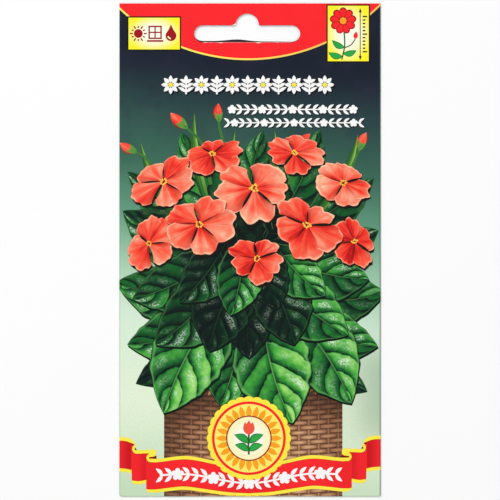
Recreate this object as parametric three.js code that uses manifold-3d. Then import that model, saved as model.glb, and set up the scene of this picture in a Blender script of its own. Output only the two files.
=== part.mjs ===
// A seed packet lying on its back: one printed paper sheet folded into a flat envelope with a hang slot, a small
// glassine sachet with a fold-over flap inside it, and five seeds in the sachet.
//
// Millimetres. X runs across the packet, Y up its height towards the hang slot, Z up through its thickness. The
// origin is on the surface that the packet lies on, under its middle.
//
// The sheet is folded at both sides and at the bottom. Its side tab is glued inside the back panel, its bottom flap
// is glued outside it, and a glue line across the front, under the slot, closes the pocket. The glue line stops
// short of the side folds, and the two plies of the header above it are loose and end in one straight cut.
import * as THREE from "three";
import { mergeVertices } from "three/addons/utils/BufferGeometryUtils.js";
import Module from "manifold-3d";

const wasm = await Module();
wasm.setup();

// Driving dimensions.
const WIDTH = 80;
const HEIGHT = 151;
const PAPER = 0.12;
const FOLD = 0.6; // thickness over a folded edge
const PILLOW = 1.35; // how far the filled pocket swells above the folded edges
const TAB = 10.8; // side tab, glued inside the back panel
const SEAM_INSET = 1.2; // from the right fold to the back panel's free edge
const FLAP = 14; // bottom flap, glued on the back
const FLAP_TAPER = 3; // how far each end of the flap's free edge is drawn in
const FLAP_RAMP = 5.5; // length over which the back panel comes down again past the flap

const SEAL_FROM_TOP = 29.5; // middle of the glue line
const SEAL_WIDTH = 5;
const SEAL_THICKNESS = 0.34; // two plies and the glue
const SEAL_CLEAR = 3.2; // unglued at each side fold

const SLOT_LENGTH = 32.5;
const SLOT_HEIGHT = 5.2;
const SLOT_FROM_TOP = 6.7;
const SLOT_OFFSET = -0.87; // the punch sits a little left of the middle
const HUMP_RADIUS = 3.6; // round hump over the slot, for a single hook

const SACHET_WIDTH = 40;
const SACHET_HEIGHT = 52;
const SACHET_CENTRE = { x: -3, y: -22 };
const GLASSINE = 0.08;
const SACHET_EDGE = 0.3;
const SACHET_SWELL = 1.1;
const SACHET_FLAP = 12;
const SACHET_FLAP_GAP = 0.1;
const LAID_ON = 0.03; // clearance under a loose piece

const SEED = { length: 3.8, width: 3, thickness: 0.85 };
const SEED_PLACES = [
  { x: -9.5, y: -31.5, turn: 0.4 },
  { x: -4.6, y: -34.6, turn: 2.1 },
  { x: 0.4, y: -30.2, turn: 1.2 },
  { x: 5.2, y: -33.8, turn: 2.7 },
  { x: -3.6, y: -26.4, turn: 0.1 },
];

const SIDE = WIDTH / 2;
const TOP = HEIGHT / 2;
const BOTTOM = -HEIGHT / 2;
const SEAL_Y = TOP - SEAL_FROM_TOP;
const SEAL_LOW = SEAL_Y - SEAL_WIDTH / 2;
const SEAL_HIGH = SEAL_Y + SEAL_WIDTH / 2;
const FLAP_EDGE = BOTTOM + FLAP;
const OUTER_RADIUS = FOLD / 2;
const INNER_RADIUS = FOLD / 2 - PAPER;
const FOLD_SHARES = [0, 0.12, 0.45, 1]; // where the mesh steps round a fold, in shares of its radius
const BEYOND = 1; // how far a cutting solid reaches past what it cuts

// ---------------------------------------------------------------------------------------------------------------
// Shapes and booleans

function smoothstep(from, to, value) {
  const share = THREE.MathUtils.clamp((value - from) / (to - from), 0, 1);
  return share * share * (3 - 2 * share);
}

// A closed geometry between two heights, top(x, y) and bottom(x, y), on a grid of columns and rows.
function slab(columns, rows, top, bottom) {
  const positions = [];
  const indices = [];
  const across = columns.length;
  const layer = across * rows.length;
  for (const height of [top, bottom])
    for (const y of rows)
      for (const x of columns) positions.push(x, y, height(x, y));
  const quad = (a, b, c, d) => indices.push(a, b, c, a, c, d);
  for (let j = 0; j < rows.length - 1; j++)
    for (let i = 0; i < across - 1; i++) {
      const at = j * across + i;
      quad(at, at + 1, at + across + 1, at + across);
      quad(layer + at, layer + at + across, layer + at + across + 1, layer + at + 1);
    }
  for (let i = 0; i < across - 1; i++) {
    const far = (rows.length - 1) * across + i;
    quad(layer + i, layer + i + 1, i + 1, i);
    quad(layer + far + 1, layer + far, far, far + 1);
  }
  for (let j = 0; j < rows.length - 1; j++) {
    const left = j * across;
    const right = left + across - 1;
    quad(layer + left + across, layer + left, left, left + across);
    quad(layer + right, layer + right + across, right + across, right);
  }
  const geometry = new THREE.BufferGeometry();
  geometry.setAttribute("position", new THREE.Float32BufferAttribute(positions, 3));
  geometry.setIndex(indices);
  return geometry;
}

function prism(shape, low, high) {
  const geometry = new THREE.ExtrudeGeometry(shape, { depth: high - low, bevelEnabled: false, curveSegments: 10 });
  return geometry.translate(0, 0, low);
}

function solid(geometry) {
  const bare = geometry.clone();
  bare.deleteAttribute("normal");
  bare.deleteAttribute("uv");
  const merged = mergeVertices(bare, 1e-5);
  return new wasm.Manifold(
    new wasm.Mesh({
      numProp: 3,
      vertProperties: merged.attributes.position.array,
      triVerts: new Uint32Array(merged.index.array),
    }),
  );
}

function geometryOf(manifold) {
  const mesh = manifold.getMesh();
  const geometry = new THREE.BufferGeometry();
  geometry.setAttribute("position", new THREE.BufferAttribute(mesh.vertProperties, 3));
  geometry.setIndex(new THREE.BufferAttribute(mesh.triVerts, 1));
  geometry.computeVertexNormals();
  return geometry;
}

function box(x0, x1, y0, y1, z0, z1) {
  const geometry = new THREE.BoxGeometry(x1 - x0, y1 - y0, z1 - z0);
  return solid(geometry.translate((x0 + x1) / 2, (y0 + y1) / 2, (z0 + z1) / 2));
}

function steps(from, to, count) {
  return Array.from({ length: count + 1 }, (_, i) => from + ((to - from) * i) / count);
}

// ---------------------------------------------------------------------------------------------------------------
// The envelope

// How far a ply has turned in at this distance from a folded edge of that radius. The fold's very edge is blunt.
function foldInset(distance, radius) {
  const away = Math.min(distance, radius);
  return 0.8 * (radius - Math.sqrt(radius * radius - (radius - away) ** 2));
}

function pillow(x, y) {
  const middle = (BOTTOM + SEAL_LOW) / 2;
  const half = (SEAL_LOW - BOTTOM) / 2;
  const across = 1 - Math.min(1, Math.abs(x) / SIDE) ** 2;
  const along = 1 - Math.min(1, Math.abs(y - middle) / half) ** 2.6;
  return PILLOW * across ** 1.5 * along ** 1.6;
}

function sealDip(x, y) {
  const near = 1 - smoothstep(SEAL_WIDTH / 2, SEAL_WIDTH / 2 + 3, Math.abs(y - SEAL_Y));
  const inside = 1 - smoothstep(SIDE - 6.5, SIDE - SEAL_CLEAR, Math.abs(x));
  return (FOLD - SEAL_THICKNESS) * near * inside;
}

// The height of the front panel's outer face over the flat part of the sheet.
const frontFace = (x, y) => FOLD + pillow(x, y) - sealDip(x, y);

// How far the flap holds the back panel up.
const backRise = (y) => PAPER * (1 - THREE.MathUtils.clamp((y - FLAP_EDGE) / FLAP_RAMP, 0, 1));

function foldColumns(side, radius) {
  const turned = FOLD_SHARES.map((share) => side - share * radius);
  const flat = [SIDE - SEAL_CLEAR, 34.4, 31, 27, 22, 16, 9];
  return [...turned.map((x) => -x), ...flat.map((x) => -x), 0, ...flat.toReversed(), ...turned.toReversed()];
}

function outerBody() {
  const inset = (x, y) => foldInset(Math.min(SIDE - Math.abs(x), y - BOTTOM), OUTER_RADIUS);
  const rows = [
    ...FOLD_SHARES.map((share) => BOTTOM + share * OUTER_RADIUS),
    ...steps(BOTTOM + 3, SEAL_LOW - 5, 15),
    ...steps(SEAL_LOW - 3, SEAL_HIGH + 3, 6),
    ...steps(SEAL_HIGH + 7, TOP, 3),
  ];
  return solid(
    slab(
      foldColumns(SIDE, OUTER_RADIUS),
      rows,
      (x, y) => frontFace(x, y) - inset(x, y),
      (x, y) => inset(x, y),
    ),
  );
}

// One ply in from the outer faces. The tab makes the back two plies thick along the right fold.
function cavityPart(rows, foldedEnd) {
  const side = SIDE - PAPER;
  const inset = (x, y) => foldInset(Math.min(side - Math.abs(x), y - foldedEnd), INNER_RADIUS);
  return solid(
    slab(
      foldColumns(side, INNER_RADIUS),
      rows,
      (x, y) => frontFace(x, y) - PAPER - inset(x, y),
      (x, y) => PAPER + backRise(y) + inset(x, y),
    ),
  );
}

function cavity() {
  const low = BOTTOM + 3 * PAPER;
  const turned = FOLD_SHARES.map((share) => low + share * INNER_RADIUS);
  const pocket = cavityPart(
    [...turned, ...steps(low + 3, FLAP_EDGE, 3), ...steps(FLAP_EDGE + FLAP_RAMP, SEAL_LOW, 14)],
    low,
  );
  const header = cavityPart(steps(SEAL_HIGH, TOP + BEYOND, 5), BOTTOM);
  const channels = [-1, 1].map((hand) => {
    const inner = hand * (SIDE - SEAL_CLEAR);
    const outer = hand * (SIDE - 3 * PAPER);
    return box(
      Math.min(inner, outer),
      Math.max(inner, outer),
      SEAL_LOW - BEYOND,
      SEAL_HIGH + BEYOND,
      2 * PAPER,
      FOLD - PAPER,
    );
  });
  const tab = box(SIDE - TAB, SIDE, BOTTOM, TOP + BEYOND, 0, 2 * PAPER);
  return channels.reduce((sum, channel) => sum.add(channel), pocket.add(header)).subtract(tab);
}

// Past the back panel's free edge the surface is the tab's, one ply higher.
const seamStep = () => box(SIDE - SEAM_INSET, SIDE + BEYOND, BOTTOM - BEYOND, TOP + BEYOND, -BEYOND, PAPER);

// What lies round the glued flap is the back panel, one ply higher until it comes down past the flap.
function flapStep() {
  const around = solid(
    slab(
      [-SIDE - BEYOND, SIDE + BEYOND],
      [BOTTOM - BEYOND, FLAP_EDGE, FLAP_EDGE + FLAP_RAMP],
      (x, y) => backRise(y),
      () => -BEYOND,
    ),
  );
  const flap = new THREE.Shape([
    new THREE.Vector2(-SIDE - BEYOND, BOTTOM - BEYOND),
    new THREE.Vector2(SIDE + BEYOND, BOTTOM - BEYOND),
    new THREE.Vector2(SIDE, BOTTOM),
    new THREE.Vector2(SIDE - FLAP_TAPER, FLAP_EDGE),
    new THREE.Vector2(-SIDE + FLAP_TAPER, FLAP_EDGE),
    new THREE.Vector2(-SIDE, BOTTOM),
  ]);
  return around.subtract(solid(prism(flap, -2 * BEYOND, 2 * BEYOND)));
}

// The hang slot: a bar with round ends and a round hump over its middle.
function slotShape() {
  const high = TOP - SLOT_FROM_TOP;
  const radius = SLOT_HEIGHT / 2;
  const middle = high - radius;
  const reach = SLOT_LENGTH / 2 - radius;
  const shape = new THREE.Shape();
  shape.moveTo(SLOT_OFFSET - reach, high - SLOT_HEIGHT);
  shape.lineTo(SLOT_OFFSET + reach, high - SLOT_HEIGHT);
  shape.absarc(SLOT_OFFSET + reach, middle, radius, -Math.PI / 2, Math.PI / 2, false);
  shape.lineTo(SLOT_OFFSET + HUMP_RADIUS, high);
  shape.absarc(SLOT_OFFSET, high, HUMP_RADIUS, 0, Math.PI, false);
  shape.lineTo(SLOT_OFFSET - reach, high);
  shape.absarc(SLOT_OFFSET - reach, middle, radius, Math.PI / 2, (3 * Math.PI) / 2, false);
  return shape;
}

function envelope() {
  const slot = solid(prism(slotShape(), -BEYOND, FOLD + BEYOND));
  return geometryOf(
    outerBody().subtract(cavity()).subtract(seamStep()).subtract(flapStep()).subtract(slot),
  );
}

// ---------------------------------------------------------------------------------------------------------------
// The sachet: a glassine pouch whose back ply folds over its mouth, at the end nearer the hang slot

const SACHET_FLOOR = PAPER + LAID_ON;
const SACHET_LEFT = SACHET_CENTRE.x - SACHET_WIDTH / 2;
const SACHET_RIGHT = SACHET_CENTRE.x + SACHET_WIDTH / 2;
const SACHET_LOW = SACHET_CENTRE.y - SACHET_HEIGHT / 2;
const SACHET_MOUTH = SACHET_CENTRE.y + SACHET_HEIGHT / 2;

function sachetFace(x, y) {
  const across = Math.min(1, Math.abs(x - SACHET_CENTRE.x) / (SACHET_WIDTH / 2));
  const along = Math.min(1, Math.abs(y - SACHET_CENTRE.y) / (SACHET_HEIGHT / 2));
  return SACHET_FLOOR + SACHET_EDGE + SACHET_SWELL * (1 - across ** 4) * (1 - along ** 4);
}

function sachetPart(left, right, low, high, lift, floor) {
  return solid(
    slab(steps(left, right, 10), steps(low, high, 12), (x, y) => sachetFace(x, y) + lift, () => floor),
  );
}

function sachet() {
  const inner = SACHET_FLOOR + GLASSINE;
  const pouch = sachetPart(SACHET_LEFT, SACHET_RIGHT, SACHET_LOW, SACHET_MOUTH, 0, SACHET_FLOOR).subtract(
    sachetPart(
      SACHET_LEFT + GLASSINE,
      SACHET_RIGHT - GLASSINE,
      SACHET_LOW + GLASSINE,
      SACHET_MOUTH + BEYOND,
      -GLASSINE,
      inner,
    ),
  );
  const fold = SACHET_MOUTH + SACHET_FLAP_GAP + 5 * GLASSINE;
  const flapLow = SACHET_MOUTH - SACHET_FLAP;
  const lift = SACHET_FLAP_GAP + GLASSINE;
  const wrap = sachetPart(SACHET_LEFT, SACHET_RIGHT, flapLow, fold, lift, SACHET_FLOOR).subtract(
    sachetPart(
      SACHET_LEFT - BEYOND,
      SACHET_RIGHT + BEYOND,
      flapLow - BEYOND,
      fold - GLASSINE,
      SACHET_FLAP_GAP,
      inner,
    ),
  );
  return geometryOf(pouch.add(wrap));
}

// ---------------------------------------------------------------------------------------------------------------
// A seed: a flat oval, drawn out to a blunt point at the scar where it was attached

function seed() {
  const geometry = new THREE.SphereGeometry(1, 14, 8).rotateX(Math.PI / 2);
  const at = geometry.attributes.position;
  for (let i = 0; i < at.count; i++) {
    const x = at.getX(i);
    const point = smoothstep(0.35, 1, x);
    at.setXYZ(
      i,
      (x * SEED.length) / 2 + 0.12 * point,
      (at.getY(i) * SEED.width * (1 - 0.35 * point)) / 2,
      (at.getZ(i) * SEED.thickness) / 2,
    );
  }
  return geometryOf(solid(geometry));
}

// ---------------------------------------------------------------------------------------------------------------
// The packet

const printedPaper = new THREE.MeshStandardMaterial({ color: 0x3f7a5c, roughness: 0.35, metalness: 0 });
const glassine = new THREE.MeshStandardMaterial({ color: 0xe9e4d2, roughness: 0.5, metalness: 0 });
const seedCoat = new THREE.MeshStandardMaterial({ color: 0x4a2f1c, roughness: 0.8, metalness: 0 });

function named(name, geometry, material) {
  const mesh = new THREE.Mesh(geometry, material);
  mesh.name = name;
  return mesh;
}

const packet = new THREE.Group();
packet.add(named("envelope", envelope(), printedPaper));
packet.add(named("sachet", sachet(), glassine));
SEED_PLACES.forEach(({ x, y, turn }, i) => {
  const mesh = named(`seed_${i + 1}`, seed(), seedCoat);
  mesh.position.set(x, y, SACHET_FLOOR + GLASSINE + LAID_ON + SEED.thickness / 2);
  mesh.rotation.z = turn;
  packet.add(mesh);
});

export default packet;
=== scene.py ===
"""A printed paper seed packet, finished for looks over its solid model.

The sheet is cut and punched flat, then creased and folded as on a folding line, so every edge shows
real paper. The print lies on it in thin ink films: the header, labels, picture, ribbon and seal on the
front, and a sowing panel on the back. Inside are a glassine sachet and its seeds. Sizes are in
millimetres until a piece is finished, and a finished piece is in metres.
"""

import logging
import math
import random
from collections.abc import Callable, Mapping, Sequence
from dataclasses import dataclass
from enum import Enum
from functools import cache
from typing import ClassVar

import bmesh
import bpy
from bmesh.types import BMEdge, BMesh, BMVert
from bpy.types import Material, NodeSocket, Object
from mathutils import Matrix, Vector, noise


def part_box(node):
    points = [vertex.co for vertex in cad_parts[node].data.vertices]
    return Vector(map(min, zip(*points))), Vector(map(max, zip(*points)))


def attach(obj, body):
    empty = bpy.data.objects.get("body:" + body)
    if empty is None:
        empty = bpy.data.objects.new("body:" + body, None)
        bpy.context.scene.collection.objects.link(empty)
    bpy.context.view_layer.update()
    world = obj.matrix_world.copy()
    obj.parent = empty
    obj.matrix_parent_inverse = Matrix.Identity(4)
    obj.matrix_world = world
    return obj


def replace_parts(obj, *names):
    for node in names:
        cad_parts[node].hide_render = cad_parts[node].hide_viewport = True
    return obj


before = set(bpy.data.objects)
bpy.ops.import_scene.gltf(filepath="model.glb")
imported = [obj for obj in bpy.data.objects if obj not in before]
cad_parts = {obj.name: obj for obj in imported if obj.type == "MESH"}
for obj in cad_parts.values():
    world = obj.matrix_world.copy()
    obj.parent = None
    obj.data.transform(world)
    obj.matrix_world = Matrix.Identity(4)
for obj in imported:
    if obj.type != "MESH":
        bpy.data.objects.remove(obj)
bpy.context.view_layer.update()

LOG = logging.getLogger("seed_packet")

MM = 0.001
GRID = 1.5  # films and sheet are sliced on the same lines, so that they bend alike
INK = 0.005  # between one ink film and the next
BACK_CLEAR = 0.03  # the sheet's back stays this far off the ground, for the ink under it
NEAR = 1e-3  # two places closer than this are the same
SLOT_STEPS = 26  # along the hang slot's lower edge
TAU = 2 * math.pi

Point = tuple[float, float]
Outline = Sequence[Point]
Triple = tuple[float, float, float]
Colour = Triple
Place = Triple
Placer = Callable[[float, float], Place]  # gives x, y and the rise for shares along and across a shape


def smoothstep(low: float, high: float, value: float) -> float:
    """Smooth rise from 0 at low to 1 at high."""
    share = min(1.0, max(0.0, (value - low) / (high - low)))
    return share * share * (3 - 2 * share)


def lines(low: float, high: float, step: float = GRID) -> list[float]:
    """Multiples of a step strictly between two values."""
    first = math.floor(low / step) + 1
    return [i * step for i in range(first, math.ceil(high / step))]


# ------------ Finishes


def tint(red: int, green: int, blue: int) -> Colour:
    """A display colour, 0 to 255, as the linear light that shaders work in."""

    def linear(level: int) -> float:
        share = level / 255
        return share / 12.92 if share <= 0.04045 else ((share + 0.055) / 1.055) ** 2.4

    return linear(red), linear(green), linear(blue)


class Signal:
    """A value on its way through a finish's nodes. Arithmetic on it adds the node that works it out."""

    def __init__(self, graph: "Graph", socket: NodeSocket) -> None:
        """Holds an output socket of a graph's node."""
        self.graph = graph
        self.socket = socket

    def math(self, operation: str, *others: "Signal | float") -> "Signal":
        """The result of an operation on the value and others."""
        return self.graph.node("Math", dict(enumerate((self, *others))), operation=operation)

    def __add__(self, other: "Signal | float") -> "Signal":
        """Sum."""
        return self.math("ADD", other)

    def __sub__(self, other: "Signal | float") -> "Signal":
        """Difference."""
        return self.math("SUBTRACT", other)

    def __mul__(self, other: "Signal | float") -> "Signal":
        """Product."""
        return self.math("MULTIPLY", other)

    def __pow__(self, other: float) -> "Signal":
        """Power."""
        return self.math("POWER", other)

    def inverse(self) -> "Signal":
        """One minus the value."""
        return self * -1.0 + 1.0

    def fraction(self) -> "Signal":
        """What is left past the last whole number."""
        return self.math("FRACT")

    def size(self) -> "Signal":
        """The value without its sign."""
        return self.math("ABSOLUTE")

    def sine(self) -> "Signal":
        """Sine."""
        return self.math("SINE")

    def over(self, edge: float) -> "Signal":
        """1 above an edge and 0 below it."""
        return self.math("GREATER_THAN", edge)

    def rise(self, low: float, high: float, to_low: float = 0.0, to_high: float = 1.0) -> "Signal":
        """A smooth step from to_low, where the value is low, to to_high, where it is high."""
        inputs = dict(enumerate((self, low, high, to_low, to_high)))
        return self.graph.node("MapRange", inputs, interpolation_type="SMOOTHSTEP")

    def band(self, start: float, full: float, fade: float, end: float) -> "Signal":
        """1 between full and fade, with smooth steps up from start and down to end, and 0 outside."""
        return self.rise(start, full) * self.rise(fade, end).inverse()

    def scaled(self, factor: "Signal | float") -> "Signal":
        """A colour or a place times a number."""
        return self.graph.node("VectorMath", {0: self, "Scale": factor}, operation="SCALE")

    def ramp(self, *stops: tuple[float, Colour]) -> "Signal":
        """Colour by value.

        Args:
            stops: positions from 0 to 1 with their colours.

        Returns:
            The colour.
        """
        ramped = self.graph.node("ValToRGB", {0: self})
        elements = ramped.socket.node.color_ramp.elements
        for element, (position, colour) in ((elements[0], stops[0]), (elements[1], stops[-1])):
            element.position = position
            element.color = (*colour, 1)
        for position, colour in stops[1:-1]:
            elements.new(position).color = (*colour, 1)
        return ramped


class Graph:
    """A material and the node graph behind its one shader."""

    def __init__(self, name: str) -> None:
        """Makes an empty material."""
        self.material = bpy.data.materials.new(name)
        self.material.use_nodes = True
        self.tree = self.material.node_tree
        self.shader = self.tree.nodes["Principled BSDF"]
        self.place: Signal | None = None

    def node(
        self,
        kind: str,
        inputs: Mapping[int | str, Signal | float | Colour],
        output: int | str = 0,
        **options: str,
    ) -> Signal:
        """Adds a node.

        Args:
            kind: its type, without the start that all share.
            inputs: what goes into its inputs, by their number or name.
            output: the output that is wanted.
            options: its settings by name.

        Returns:
            That output.
        """
        node = self.tree.nodes.new(f"ShaderNode{kind}")
        for name, value in options.items():
            setattr(node, name, value)
        for slot, value in inputs.items():
            self.feed(node.inputs[slot], value)
        return Signal(self, node.outputs[output])

    def feed(self, slot: NodeSocket, value: Signal | float | Colour) -> None:
        """Puts a signal, number or colour into an input.

        Args:
            slot: the input.
            value: what goes in.
        """
        if isinstance(value, Signal):
            self.tree.links.new(value.socket, slot)
        elif slot.type == "RGBA":
            slot.default_value = (*value, 1)
        else:
            slot.default_value = value

    def millimetres(self) -> Signal:
        """The place on the object, in millimetres."""
        if self.place is None:
            self.place = self.node("TexCoord", {}, "Object").scaled(1 / MM)
        return self.place

    def split(self, vector: Signal) -> tuple[Signal, Signal, Signal]:
        """The three parts of a vector."""
        first = self.node("SeparateXYZ", {0: vector})
        return tuple(Signal(self, output) for output in first.socket.node.outputs)

    def join(self, x: Signal | float, y: Signal | float, z: Signal | float = 0.0) -> Signal:
        """A vector of three parts."""
        return self.node("CombineXYZ", {0: x, 1: y, 2: z})

    def pattern(self) -> tuple[Signal, Signal]:
        """The piece's own UV map: along and across."""
        along, across, _ = self.split(self.node("UVMap", {}, uv_map="pattern"))
        return along, across

    def mark(self, name: str) -> Signal:
        """A number that the piece's points carry."""
        return self.node("Attribute", {}, "Fac", attribute_name=name)

    def cloud(self, scale: float, detail: float = 2.0, where: Signal | None = None) -> Signal:
        """A soft random pattern, 0 to 1, with some patches per millimetre, or per unit of where."""
        inputs = {"Vector": where or self.millimetres(), "Scale": scale, "Detail": detail}
        return self.node("TexNoise", inputs)

    def mix(self, share: Signal | float, first: Signal | Colour, second: Signal | Colour) -> Signal:
        """The blend of two colours that holds a share of the second."""
        return self.node("Mix", {0: share, 6: first, 7: second}, 2, data_type="RGBA")

    def surface(self, colour: Signal, roughness: Signal | float) -> None:
        """Sets the shader's colour and roughness."""
        self.feed(self.shader.inputs["Base Color"], colour)
        self.feed(self.shader.inputs["Roughness"], roughness)

    def bump(self, height: Signal, depth: float) -> None:
        """Fine relief, a depth in millimetres where the height is 1."""
        relief = self.node("Bump", {"Distance": depth * MM, "Height": height})
        self.feed(self.shader.inputs["Normal"], relief)


@dataclass(frozen=True)
class Finish:
    """A surface finish. Its material is made once, when it is first asked for."""

    name: str

    def material(self) -> Material:
        """The finish's material."""
        known = bpy.data.materials.get(self.name)
        if known:
            return known
        graph = Graph(self.name)
        self.dress(graph)
        return graph.material

    def dress(self, graph: Graph) -> None:
        """Builds the nodes."""
        raise NotImplementedError


@dataclass(frozen=True)
class Print(Finish):
    """Ink on coated paper: any colour, under the sheet's fine tooth and its slightly uneven gloss."""

    gloss: float = 0.42
    screen: float = 0.0  # how strongly the press's dots show
    screen_pitch: float = 0.82

    def dots(self, graph: Graph) -> Signal:
        """The press's dot screen, from -1 to 1."""
        x, y, _ = graph.split(graph.millimetres())
        return (x * (TAU / self.screen_pitch)).sine() * (y * (TAU / self.screen_pitch)).sine()

    def ink(self, graph: Graph) -> Signal:
        """The ink's colour."""
        raise NotImplementedError

    def dress(self, graph: Graph) -> None:
        """Ink, press dots, coat and paper tooth."""
        ink = self.ink(graph)
        grain = graph.cloud(3.2, 3)
        strength = grain.rise(0.25, 0.75, 0.95, 1.03)
        if self.screen:
            strength = strength + self.dots(graph) * self.screen
        gloss = graph.cloud(0.12, 2).rise(0.3, 0.7, self.gloss - 0.06, self.gloss + 0.08)
        graph.surface(ink.scaled(strength), gloss + grain * 0.05)
        graph.shader.inputs["Specular IOR Level"].default_value = 0.1
        graph.bump(graph.cloud(5.0, 3) + graph.cloud(0.25, 2) * 2.0, 0.006)


@dataclass(frozen=True)
class FlatInk(Print):
    """One spot colour with a little press variation."""

    colour: Colour = (1, 1, 1)
    darker: Colour = (0.9, 0.9, 0.9)

    def ink(self, graph: Graph) -> Signal:
        """The spot colour."""
        return graph.mix(graph.cloud(0.2, 2).rise(0.35, 0.8, 0.0, 0.35), self.colour, self.darker)


@dataclass(frozen=True)
class GlowInk(Print):
    """A tint that fades to its rim colour away from a bright middle."""

    middle: Point = (0, 0)
    reach: Point = (1, 1)
    bright: Colour = (1, 1, 1)
    rim: Colour = (1, 1, 1)
    core: float = 0.2

    def ink(self, graph: Graph) -> Signal:
        """The radial fade."""
        x, y, _ = graph.split(graph.millimetres())
        across = (x - self.middle[0]) * (1 / self.reach[0])
        along = (y - self.middle[1]) * (1 / self.reach[1])
        away = (across * across + along * along) ** 0.5
        return graph.mix(away.rise(self.core, 1.0), self.bright, self.rim)


@dataclass(frozen=True)
class BackdropInk(Print):
    """The picture's backdrop: night blue under the header, through sea green, to a pale mint table."""

    screen: float = 0.06

    # How high on the packet each colour of the fade stands.
    fade: ClassVar[tuple[tuple[float, Colour], ...]] = (
        (-75, tint(198, 222, 190)),  # the table's near edge
        (-50, tint(228, 242, 214)),  # the lit table
        (-24, tint(214, 236, 214)),  # the foot of the wall
        (-6, tint(160, 202, 172)),
        (9, tint(96, 152, 124)),  # sea green
        (24, tint(61, 110, 90)),
        (38, tint(46, 78, 73)),
        (48, tint(33, 50, 58)),
        (55, tint(23, 30, 45)),  # night blue
    )
    table: tuple[float, float, float, float] = (-66.0, -50.0, -38.0, -22.0)
    shade: tuple[Point, Point] = ((20.0, 28.0), (27.0, 40.0))
    dusk: Point = (20.0, 44.0)

    def ink(self, graph: Graph) -> Signal:
        """The upright fade, with soft cloudy drift, darker to the right, and with painted shade where the
        sheet turns round the folds.
        """
        x, y, _ = graph.split(graph.millimetres())
        drift = (graph.cloud(0.03, 2) - 0.5) * 9.0 + x * 0.1 + self.dots(graph) * 4.2
        height = (y + drift - FORM.bottom) * (1 / FORM.height)
        stops = [((at - FORM.bottom) / FORM.height, colour) for at, colour in self.fade]
        start, deep = self.shade
        shade = x.rise(*deep, 0.1, 0.5) * x.rise(*start) * y.band(*self.table)
        wall = graph.mix(shade, height.ramp(*stops), tint(112, 148, 108))
        violet = graph.cloud(0.11, 3).rise(0.46, 0.66) * y.rise(*self.dusk) * 0.3
        wall = graph.mix(violet, wall, tint(42, 38, 62))
        # Painted shade at the folds, deeper on the right: the print darkens where the sheet turns away.
        right, left = FORM.side, -FORM.side
        turned = x.rise(right - 0.5, right - 0.1, 0.0, 0.7) + x.rise(left + 0.05, left + 0.4, 0.4, 0.0)
        return graph.mix(turned, wall, tint(74, 88, 86))


@dataclass(frozen=True)
class LeafInk(Print):
    """A printed leaf, quilted between its side veins, with wet highlights. Its map runs along and across."""

    screen: float = 0.07
    veins: float = 5.6  # how many side veins a half has
    rake: float = 1.25  # how far they sweep towards the tip, in spaces between veins

    def ink(self, graph: Graph) -> Signal:
        """Panels, veins, midrib and shine. A tone below zero is the dark under a leaf."""
        along, across = graph.pattern()
        tone = graph.mark("tone")
        side = across * 2.0 - 1.0
        out = side.size()
        left = side.over(0.0)
        wander = graph.cloud(0.2, 2) - 0.5
        rank = along * self.veins - out**1.3 * self.rake + left * 0.5 + wander * 0.5 + (tone * 3.0 + 8.0)
        panel = rank.fraction()
        swell = (panel**0.62 * math.pi).sine() ** 0.55
        lit = side.rise(-0.25, 0.3)
        from_root = along.rise(0.06, 0.52, 0.14, 1.0)
        groove = out.rise(0.0, 0.16, 0.55, 1.0)
        mottle = graph.cloud(0.7, 3) - 0.5
        body = swell * 0.5 + panel.inverse() * 0.22 + 0.1 + wander * 0.7 + mottle * 0.42
        level = body * from_root * groove * (lit * 0.4 + 0.66) * (tone * 0.98 + 0.14)
        colour = level.ramp(
            (0.0, tint(5, 12, 18)), (0.14, tint(8, 36, 26)), (0.36, tint(24, 104, 44)),
            (0.64, tint(74, 174, 64)), (1.0, tint(164, 226, 116)),
        )
        wet = graph.cloud(0.14, 2, graph.join(along * 40.0, side * 9.0, tone * 31.0)).rise(0.44, 0.62)
        glint = panel.band(0.12, 0.3, 0.5, 0.8) * out.rise(0.1, 0.32)
        speckle = graph.cloud(2.1, 4).rise(0.42, 0.6)
        glint = glint * out.rise(0.72, 0.95).inverse() * wet * speckle * along.rise(0.2, 0.45)
        colour = graph.mix(glint * (tone * 0.7 + 0.3) * (lit * 0.7 + 0.3), colour, tint(220, 242, 218))
        vein = panel.rise(0.0, 0.06) * panel.inverse().rise(0.0, 0.025)
        colour = graph.mix(vein.inverse() * 0.85, colour, tint(5, 28, 18))
        beside_vein = panel.band(0.05, 0.09, 0.1, 0.17) * lit
        colour = graph.mix(beside_vein * tone * 0.4, colour, tint(150, 210, 130))
        edge_light = out.band(0.86, 0.93, 0.95, 0.99) * tone * 0.4
        colour = graph.mix(edge_light, colour, tint(130, 200, 116))
        colour = graph.mix(out.rise(0.95, 1.0) * 0.85, colour, tint(5, 24, 18))
        rib = out.rise(0.0, 0.03).inverse() * along.rise(0.88, 1.0).inverse()
        rib_light = graph.mix(from_root * tone, tint(8, 34, 20), tint(112, 176, 92))
        colour = graph.mix(rib * 0.8, colour, rib_light)
        return graph.mix(tone.rise(-0.9, -0.4).inverse(), colour, tint(7, 22, 18))


@dataclass(frozen=True)
class ShootInk(Print):
    """A slender yellow-green blade with fine long veins."""

    def ink(self, graph: Graph) -> Signal:
        """Long stripes, light along one side."""
        along, across = graph.pattern()
        stripes = graph.cloud(1.0, 3, graph.join(along * 1.4, across * 7.0, graph.mark("tone") * 9.0))
        level = across.rise(0.0, 1.0, 0.8, 0.2) * along.rise(0.0, 0.5, 0.5, 1.0) + (stripes - 0.5) * 0.6
        colour = level.ramp(
            (0.05, tint(22, 58, 28)), (0.4, tint(58, 118, 44)),
            (0.75, tint(126, 172, 72)), (1.0, tint(204, 222, 130)),
        )
        rib = (across - 0.5).size().rise(0.02, 0.09).inverse() * 0.5
        return graph.mix(rib, colour, tint(34, 84, 34))


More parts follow.
